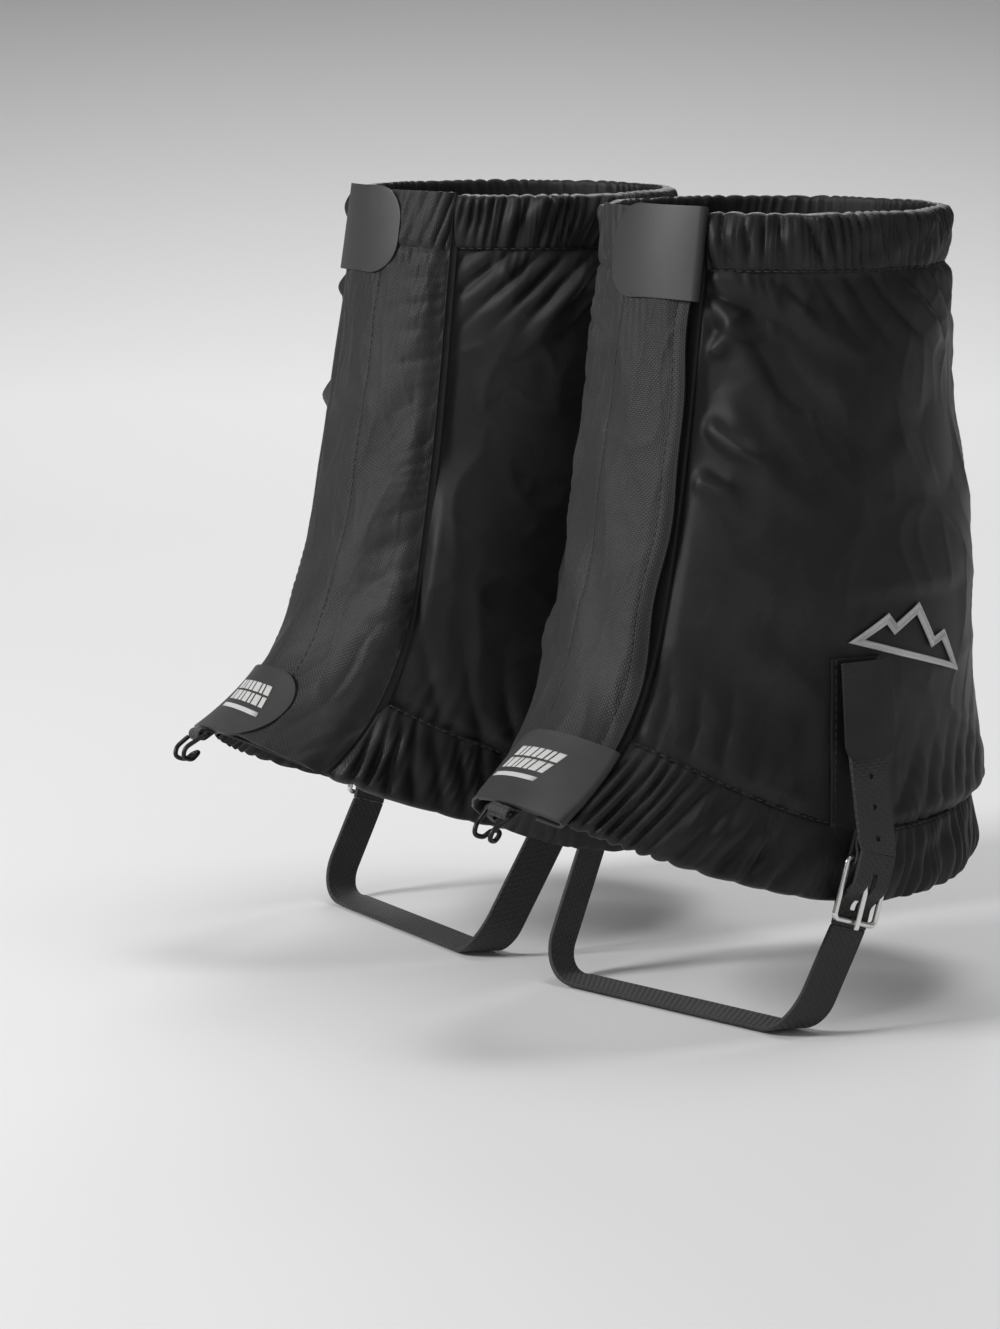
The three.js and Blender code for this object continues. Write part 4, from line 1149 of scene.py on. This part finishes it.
def strap_route():
    """The strap from behind the rail, down, under the sole and up inside, with the direction
    across it: straight runs joined by quarter circles."""
    lean = np.array([0, math.cos(STRAP_LEAN), -math.sin(STRAP_LEAN)])
    turned = np.array([0, math.cos(BUCKLE_TILT), -math.sin(BUCKLE_TILT)])
    level = np.array([0.0, 1.0, 0.0])

    def run(out, top, start, first):
        low, radius = 11.25, 12
        heights = np.linspace(top, low, 40)
        ways = [first + (lean - first) * min(1, i / 12) for i in range(40)]
        forward = lambda height: start + (height - top) * math.tan(STRAP_LEAN)
        rising = [(out, forward(height), height, way) for height, way in zip(heights, ways)]
        bend = []
        for angle in np.linspace(4, 90, 22):
            turn = math.radians(angle)
            height = low - radius * math.sin(turn)
            way = lean + (level - lean) * angle / 90
            bend.append((out - radius * (1 - math.cos(turn)), forward(height), height, way))
        return rising + bend

    place = lambda stations, axes, origin: (
        np.array([origin + x * axes[0] + y * axes[1] + z * UP for x, y, z, _ in stations]),
        np.array([way[0] * axes[0] + way[1] * axes[1] + way[2] * UP for *_, way in stations]),
    )
    dip, rise = STRAP_START * math.sin(BUCKLE_TILT), STRAP_START * math.cos(BUCKLE_TILT)
    outer_run = run(BAR_OUT + STRAP_BACK, BAR_HEIGHT - rise, -dip, turned)
    inner_run = run(PATCH_FACE + 1.25, 50.0, 0.0, lean)
    outer, outer_across = place(outer_run, (OUT, BACK), OUTER_ORIGIN)
    inner, inner_across = place(inner_run, (INNER_OUT, INNER_BACK), INNER_ORIGIN)
    middle = np.linspace(outer[-1], inner[-1], 60)[1:-1]
    middle[:, 2] = outer[-1, 2]
    ways = np.linspace(outer_across[-1], inner_across[-1], 60)[1:-1]
    path = np.vstack([outer, middle, inner[::-1]])
    across = np.vstack([outer_across, ways, inner_across[::-1]])
    return path, across / np.linalg.norm(across, axis=1, keepdims=True)


def tail_grid():
    """The strap's free end: from the bar up to its rounded tip, with every point inside a punched
    hole pushed out to the hole's edge."""
    low, bend_height, punch = 3.3, 9, 0.95
    sine, cosine = math.sin(BUCKLE_TILT), math.cos(BUCKLE_TILT)
    start = np.array([BAR_OUT + STRAP_FRONT, low * sine, BAR_HEIGHT + low * cosine])
    bend = np.array([BAR_OUT + STRAP_FRONT, 0, BAR_HEIGHT + bend_height])
    tip = np.array([TAIL_TIP_OUT, 0, BAR_HEIGHT + TAIL_LENGTH])
    path = evened(along([start, bend, bend + (tip - bend) * 0.5, tip], 30), 130)
    height = path[:, 2] - BAR_HEIGHT
    z, y = spread(height, np.linspace(-STRAP_WIDTH / 2, STRAP_WIDTH / 2, 49))
    hole = np.zeros(y.shape, bool)
    for centre in PUNCHES:
        away = np.hypot(y, z - centre)
        inside = away < punch
        scale = np.where(inside, punch / np.maximum(away, 0.05), 1)
        y, z = y * scale, centre + (z - centre) * scale
        hole |= inside
    drawn = round_corners(BAR_HEIGHT + TAIL_LENGTH - path[:, 2], 2.5)
    y = y * (STRAP_WIDTH / 2 - drawn[:, None]) / (STRAP_WIDTH / 2)
    x = np.interp(z, height, path[:, 0])
    lean = np.interp(z, height, path[:, 1])
    tilt = np.interp(z, [3, bend_height], [sine, 0])
    y = y * np.interp(z, [3, bend_height], [cosine, 1])
    points = np.stack([x, y + lean, z + BAR_HEIGHT - y * tilt], -1)
    return beside_strap(points), ~cells(hole).all(2)


def bight_path():
    """The strap's turn: up behind the rail, over it to the front, and on up to the free end."""
    back, front = STRAP_BACK, STRAP_FRONT
    sides = (back, back, back, back + 0.9, front - 0.9, front, front, front)
    heights = (-22.0, -18.0, -15.2, -13.4, -9.1, -7.3, -3.0, 3.3)
    return evened(along([(x, 0, z) for x, z in zip(sides, heights)], 12), 90)


def slotted(strip, across, up):
    """Which cells of a strip stay, where the prong needs a slot of a half width and a height."""
    middle = (strip[:-1, :-1] + strip[1:, 1:]) / 2
    return ~((np.abs(middle[..., 1]) < across) & up(middle[..., 2]))


class GAITER_OT_side_strap(Operator):
    """Make the strap under the sole, its punched end, the keeper tab and the sewn patches."""

    bl_idname = "gaiter.side_strap"
    bl_label = "Side Strap"

    def execute(self, context):
        patches = (
            ("outer_patch", (55, KEEPER_TOP + 1, 1.2, 1, 151), "pack_cloth", 0.064),
            ("inner_patch", (39, 63, 4.3, -1, 152), "flap_cloth", 0.024),
        )
        for side in SIDES:
            for name, shape, look, high in patches:
                cloth, flip = stand(patch_sheet(*shape)), name == "inner_patch"
                patch = made(side, name, cloth, look, slot="flap_cloth", wall=0.6, flip=flip)
            strap = webbing_grid(*strap_route(), STRAP_WIDTH)
            worked = {"wall": STRAP_WALL, "rounded": 0.4, "flip": True}
            made(side, "instep_strap", strap, "webbing", "instep_strap", **worked)
            worked["rounded"] = 0.35
            tail, keep = tail_grid()
            made(side, "strap_tail", tail, "webbing", "strap_tail", keep=keep, **worked)
            bight = webbing_grid(bight_path(), FLAT_ACROSS, STRAP_WIDTH, 41)
            keep = slotted(bight, 1.35, lambda z: np.abs(z + 9.9) < 6.6)
            made(side, "strap_bight", at_buckle(bight), "webbing", "strap_tail", keep=keep, **worked)
            tab = beside_strap(keeper_grid())
            keeper = made(side, "strap_keeper", tab, "flap_cloth", "strap_keeper", wall=1.0, rounded=0.3)
        return {"FINISHED"}


def keeper_grid():
    """The keeper tab: hinged at its top, lying out over the strap's end, with round lower corners
    and a slight crown."""
    t = np.linspace(-1, 1, 40)[:, None]
    down = np.linspace(0, KEEPER_LENGTH, 60)
    y = t * (10 - round_corners(KEEPER_LENGTH - down, 5.0))
    z = KEEPER_TOP - down + 0 * y
    foot = KEEPER_TOP - KEEPER_LENGTH - BAR_HEIGHT
    tail_face = np.interp(foot, [9, TAIL_LENGTH], [BAR_OUT + STRAP_FRONT, TAIL_TIP_OUT]) + STRAP_WALL / 2
    lift = tail_face + 0.6 - PATCH_FACE
    crown = 0.35 * (1 - t**2) * np.sin(np.pi * down / KEEPER_LENGTH)
    x = PATCH_FACE + 0.5 + lift * down / KEEPER_LENGTH + crown
    return np.stack([x, y, z], -1)


# ---- Buckle ----


def rounded_frame(half_width, length, corner, count=14):
    """A closed rounded rectangle in the buckle's plane: four quarter circles joined by straights."""
    rows = []
    for side, end, start in ((1, 0, 0), (-1, 0, 90), (-1, -1, 180), (1, -1, 270)):
        centre = np.array([side * (half_width - corner), -corner if end == 0 else corner - length])
        turn = np.radians(np.linspace(start, start + 90, count))
        rows.append(centre + corner * np.stack([np.cos(turn), np.sin(turn)], -1))
    ring = np.vstack(rows)
    return np.stack([np.zeros(len(ring)), ring[:, 0], ring[:, 1]], -1)


def bar_profile(path, wall, width):
    """A flat metal bar: a rounded rectangle carried along a path that lies across the bar."""
    out = np.cross(FLAT_ACROSS, tangents(path))
    turn = np.linspace(0, 2 * np.pi, 20, endpoint=False)
    square = lambda wave: (np.sign(wave) * np.abs(wave) ** 0.5)[None, :, None]
    through = square(np.cos(turn)) * wall / 2 * out[:, None]
    return path[:, None] + through + square(np.sin(turn)) * width / 2 * FLAT_ACROSS


def bar_arc(radius, start, end, count):
    """Part of a circle round the buckle's bar, between two angles."""
    turn = np.radians(np.linspace(start, end, count))
    return radius * np.stack([np.cos(turn), 0 * turn, np.sin(turn)], -1)


class GAITER_OT_buckle(Operator):
    """Make the nickel buckle, its prong and the webbing that anchors it."""

    bl_idname = "gaiter.buckle"
    bl_label = "Buckle"

    def execute(self, context):
        # The radius at which the prong and the webbing turn round the bar.
        turn = 1.9
        for side in SIDES:
            ring = rounded_frame(8.5, BUCKLE_LENGTH, 1.8)
            wire = at_buckle(wire_grid(ring, 1.0, np.array([1.0, 0.0, 0.0]), 18, True))
            made(side, "buckle_frame", wire, "nickel", "buckle", loop=(True, True))
            stations = [(turn, 0, -0.01), (turn, 0, -8), (turn, 0, -BUCKLE_LENGTH), (1.75, 0, -22.3)]
            shank = evened(along(stations, 10), 40)
            route = np.vstack([bar_arc(turn, 250, 0, 26), shank[1:]])
            prong = at_buckle(capped(bar_profile(route, 1.15, 2.0)))
            made(side, "buckle_prong", prong, "nickel", "prong", loop=(False, True))
            front = along([(1.5, 0, 1.9), (0.1, 0, 4.4), (-0.35, 0, 6.5), (-0.4, 0, 9.0)], 8)
            route = np.vstack([[(-turn, 0, 9.0), (-turn, 0, 4.5)], bar_arc(turn, 180, 360, 30), front])
            strip = webbing_grid(evened(route, 110), FLAT_ACROSS, STRAP_WIDTH, 41)
            keep = slotted(strip, 1.4, lambda z: z < 3.2)
            made(side, "buckle_anchor", at_buckle(strip), "webbing", wall=1.1, rounded=0.3, keep=keep)
        return {"FINISHED"}


# ---- Lace hook ----


def hook_path():
    """The wire's route: across inside the webbing, out along both sides and back under itself."""
    half, drop, reach, span = 5.4, 5.0, 10.0, 4.6
    leg = lambda s: [
        (0, 0, s * half), (4, 0, s * span), (8, -0.3, s * span * 0.8), (reach, -drop / 2, s * span * 0.7),
        (8, -drop, s * span * 0.55), (5, -drop, s * span * 0.4),
    ]
    across = [(0, 0, -0.7 * half), (0, 0, 0), (0, 0, 0.7 * half)]
    points = [*across, *leg(1), (3.8, -drop, 0), *leg(-1)[::-1][:-1], (2, 0, -1.1 * span)]
    return evened(along(points, 14), 190)


class GAITER_OT_lace_hook(Operator):
    """Make the wire lace hook and the webbing that holds it."""

    bl_idname = "gaiter.lace_hook"
    bl_label = "Lace Hook"

    def execute(self, context):
        radius = 1.75
        turn = np.radians(np.linspace(-90, 170, 36))
        arc = radius * np.stack([np.cos(turn), np.sin(turn), 0 * turn], -1)
        route = np.vstack([[(-14.5, -radius, 0), (-8.0, -radius, 0), (-3.0, -radius, 0)], arc])
        for side in SIDES:
            wire = at_hook(capped(wire_grid(hook_path(), 0.8, np.array([0.13, 1.0, 0.09]), 14)))
            made(side, "lace_hook", wire, "black_wire", "lace_hook", loop=(False, True))
            strip = at_hook(webbing_grid(evened(route, 80), np.array([0.0, 0.0, 1.0]), 8.0, 21))
            made(side, "hook_webbing", strip, "webbing", "flap", wall=0.85, rounded=0.25)
        return {"FINISHED"}


# ---- Stitching ----


def leg_row(bearing, share, off):
    """A line on the cloth and the cloth's normals along it, in place."""
    bearing, share, off = (np.asarray(x, float) for x in np.broadcast_arrays(bearing, share, off))
    path = laid(bearing, share, off)
    normals = leg_normal(bearing, share)
    turned = stand(path + normals) - stand(path)
    return stand(path), turned


def patch_rows():
    """Lines of stitches down both sides of the two patches and along their lower edges."""
    t = np.linspace(0, 1, 60)
    for low, high, off, outer in ((55, KEEPER_TOP + 1, 1.85, 1), (39, 63, 4.95, -1)):
        lines = [(PATCH_CENTRE + edge * 7.4, low + 3 + (high - low - 4) * t) for edge in (-1, 1)]
        for back, height in (*lines, (PATCH_CENTRE + 12 * (t - 0.5), low + 1.6)):
            bearing, share = leg_spot(back + 0 * t, height + 0 * t)
            yield leg_row(outer * bearing, share, off)


class GAITER_OT_stitching(Operator):
    """Make the rows of stitches on the cloth, its patches and the flap."""

    bl_idname = "gaiter.stitching"
    bl_label = "Stitching"

    def execute(self, context):
        pitch = in_millimetres(context.scene.gaiter_sizes).stitch_pitch
        round_leg = np.linspace(OPENING[1] + 1.5, 360 + OPENING[0] - 1.5, 400)
        up = np.linspace(0.02, 0.98, 200)
        body = [
            leg_row(round_leg, below_top(round_leg, TOP_CASING - 0.6), 1.8),
            leg_row(round_leg, above_hem(round_leg, HEM_CASING - 0.6), 1.8),
            leg_row(-35.0, up, 2.1),
            *patch_rows(),
        ]
        flap = []
        for bearing in FLAP_ROWS:
            moved, off = flap_cloth(np.full(up.shape, bearing), up)
            flap.append(leg_row(moved, up, off + 0.45))
        sewn = (("body", body, "gaiter", "pack_cloth"), ("flap", flap, "flap", "flap_cloth"))
        for side in SIDES:
            for name, lines, on, slot in sewn:
                arrays = joined([stitch_row(*line, side, pitch) for line in lines])
                rows = mesh_piece(f"{side}_{name}_stitching", *arrays, dressed()["seam_thread"])
                worn(rows, side, on, slot)
        return {"FINISHED"}


# ---- Stage ----

AZIMUTH = math.radians(52)
VIEW_RIGHT = np.array([math.cos(AZIMUTH), math.sin(AZIMUTH), 0])


class GAITER_OT_stage(Operator):
    """Make the pale floor, the soft studio lights and the camera."""

    bl_idname = "gaiter.stage"
    bl_label = "Stage"

    def execute(self, context):
        scene = context.scene
        floor_material = bpy.data.materials.new("studio_floor")
        floor_material.use_nodes = True
        w = Wiring(floor_material.node_tree)
        shader = floor_material.node_tree.nodes["Principled BSDF"]
        shader.inputs["Roughness"].default_value = 0.8
        shader.inputs["Specular IOR Level"].default_value = 0.1
        place = w.node("ShaderNodeTexCoord")
        split = w.node("ShaderNodeSeparateXYZ", links={"Vector": place.outputs["Object"]})
        height = {"Value": split.outputs["Z"]}
        # The sweep's colour is painted from pale on the floor to grey up the wall: painted shade for the
        # light falling off with height.
        falloff_ramp = w.node("ShaderNodeMapRange", {"From Min": 0.05, "From Max": 0.34}, height)
        painted_falloff = w.node("ShaderNodeMix", data_type="RGBA", links={"Factor": falloff_ramp.outputs["Result"]})
        painted_falloff.inputs[6].default_value = (0.72, 0.72, 0.72, 1)
        painted_falloff.inputs[7].default_value = (0.26, 0.26, 0.26, 1)
        floor_material.node_tree.links.new(painted_falloff.outputs[2], shader.inputs["Base Color"])
        floor = grid_piece("studio_sweep", self.sweep(), "left", floor_material)
        floor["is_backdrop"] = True
        self.lights(scene)
        self.camera(scene)
        return {"FINISHED"}

    def sweep(self):
        """A level floor that turns up behind in a quarter circle, across the line of sight."""
        level, radius, under = 1100, 700, 2.4
        turn = np.linspace(0, np.pi / 2, 16)[1:]
        run = np.concatenate([np.linspace(-3000, level, 12), level + radius * np.sin(turn), [1800, 1800]])
        rise = np.concatenate([np.zeros(12), radius * (1 - np.cos(turn)), [1800, 3800]]) - under
        away = np.array([-math.sin(AZIMUTH), math.cos(AZIMUTH), 0])
        across = np.linspace(-4000, 4000, 9)[:, None, None] * VIEW_RIGHT
        return across + run[None, :, None] * away + rise[None, :, None] * UP

    def lights(self, scene):
        """Four soft square lamps round the pair and an even grey world."""
        world = bpy.data.worlds.new("studio")
        world.use_nodes = True
        world.node_tree.nodes["Background"].inputs["Color"].default_value = (1, 1, 1, 1)
        world.node_tree.nodes["Background"].inputs["Strength"].default_value = 0.24
        scene.world = world
        aim = Vector((0.03, -0.02, 0.13))
        lamps = (
            ("key", (-0.55, -1.8, 1.15), 0.55, 36),
            ("fill", (2.0, -0.9, 0.7), 1.4, 3),
            ("top", (0.1, 0.4, 2.2), 1.0, 18),
            ("rim", (-1.3, 1.0, 1.2), 0.8, 12),
        )
        for name, place, size, power in lamps:
            light = bpy.data.lights.new(name, "AREA")
            light.size, light.energy = size, power
            lamp = bpy.data.objects.new(name, light)
            lamp.location = place
            lamp.rotation_euler = (aim - Vector(place)).to_track_quat("-Z", "Y").to_euler()
            scene.collection.objects.link(lamp)
        scene.view_settings.view_transform = "Standard"

    def camera(self, scene):
        """Looks at a spot between the gaiters from the azimuth and a little above."""
        elevation, distance = math.radians(9.5), 1.425
        level = math.cos(elevation)
        toward = np.array([math.sin(AZIMUTH) * level, -math.cos(AZIMUTH) * level, math.sin(elevation)])
        target = 0.098 * UP - 0.0475 * VIEW_RIGHT
        place = target + toward * distance
        lens = bpy.data.cameras.new("camera")
        sensor, picture_height, focal_length = 36, 1329, 4125
        lens.sensor_width = sensor
        lens.lens = focal_length / picture_height * sensor
        lens.clip_end = 50
        camera = bpy.data.objects.new("camera", lens)
        camera.location = place
        camera.rotation_euler = (-Vector(toward)).to_track_quat("-Z", "Y").to_euler()
        scene.collection.objects.link(camera)
        scene.camera = camera


class GAITER_PT_maker(Panel):
    """Lists the makers of the pair's pieces, with their sizes and colours."""

    bl_label = "Ankle Gaiters"
    bl_idname = "GAITER_PT_maker"
    bl_space_type = "VIEW_3D"
    bl_region_type = "UI"
    bl_category = "Gaiters"

    def draw(self, context):
        for maker in MAKERS:
            self.layout.operator(maker.bl_idname)
        for settings in (context.scene.gaiter_sizes, context.scene.gaiter_colours):
            for name in settings.__annotations__:
                self.layout.prop(settings, name)


MAKERS = (
    GAITER_OT_body_cloth,
    GAITER_OT_casings,
    GAITER_OT_front_flap,
    GAITER_OT_pull_tabs,
    GAITER_OT_emblem,
    GAITER_OT_side_strap,
    GAITER_OT_buckle,
    GAITER_OT_lace_hook,
    GAITER_OT_stitching,
    GAITER_OT_stage,
)
CLASSES = (GaiterSizes, GaiterColours, *MAKERS, GAITER_PT_maker)


def register():
    for each in CLASSES:
        bpy.utils.register_class(each)
    bpy.types.Scene.gaiter_sizes = PointerProperty(type=GaiterSizes)
    bpy.types.Scene.gaiter_colours = PointerProperty(type=GaiterColours)


def unregister():
    del bpy.types.Scene.gaiter_sizes, bpy.types.Scene.gaiter_colours
    for each in reversed(CLASSES):
        bpy.utils.unregister_class(each)


def main():
    """Makes every piece and the stage."""
    register()
    for maker in MAKERS:
        section, name = maker.bl_idname.split(".")
        getattr(getattr(bpy.ops, section), name)()
    cad, visual = ([list(corner) for corner in box] for box in (CAD_BOX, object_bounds()))


if __name__ == "__main__":
    main()
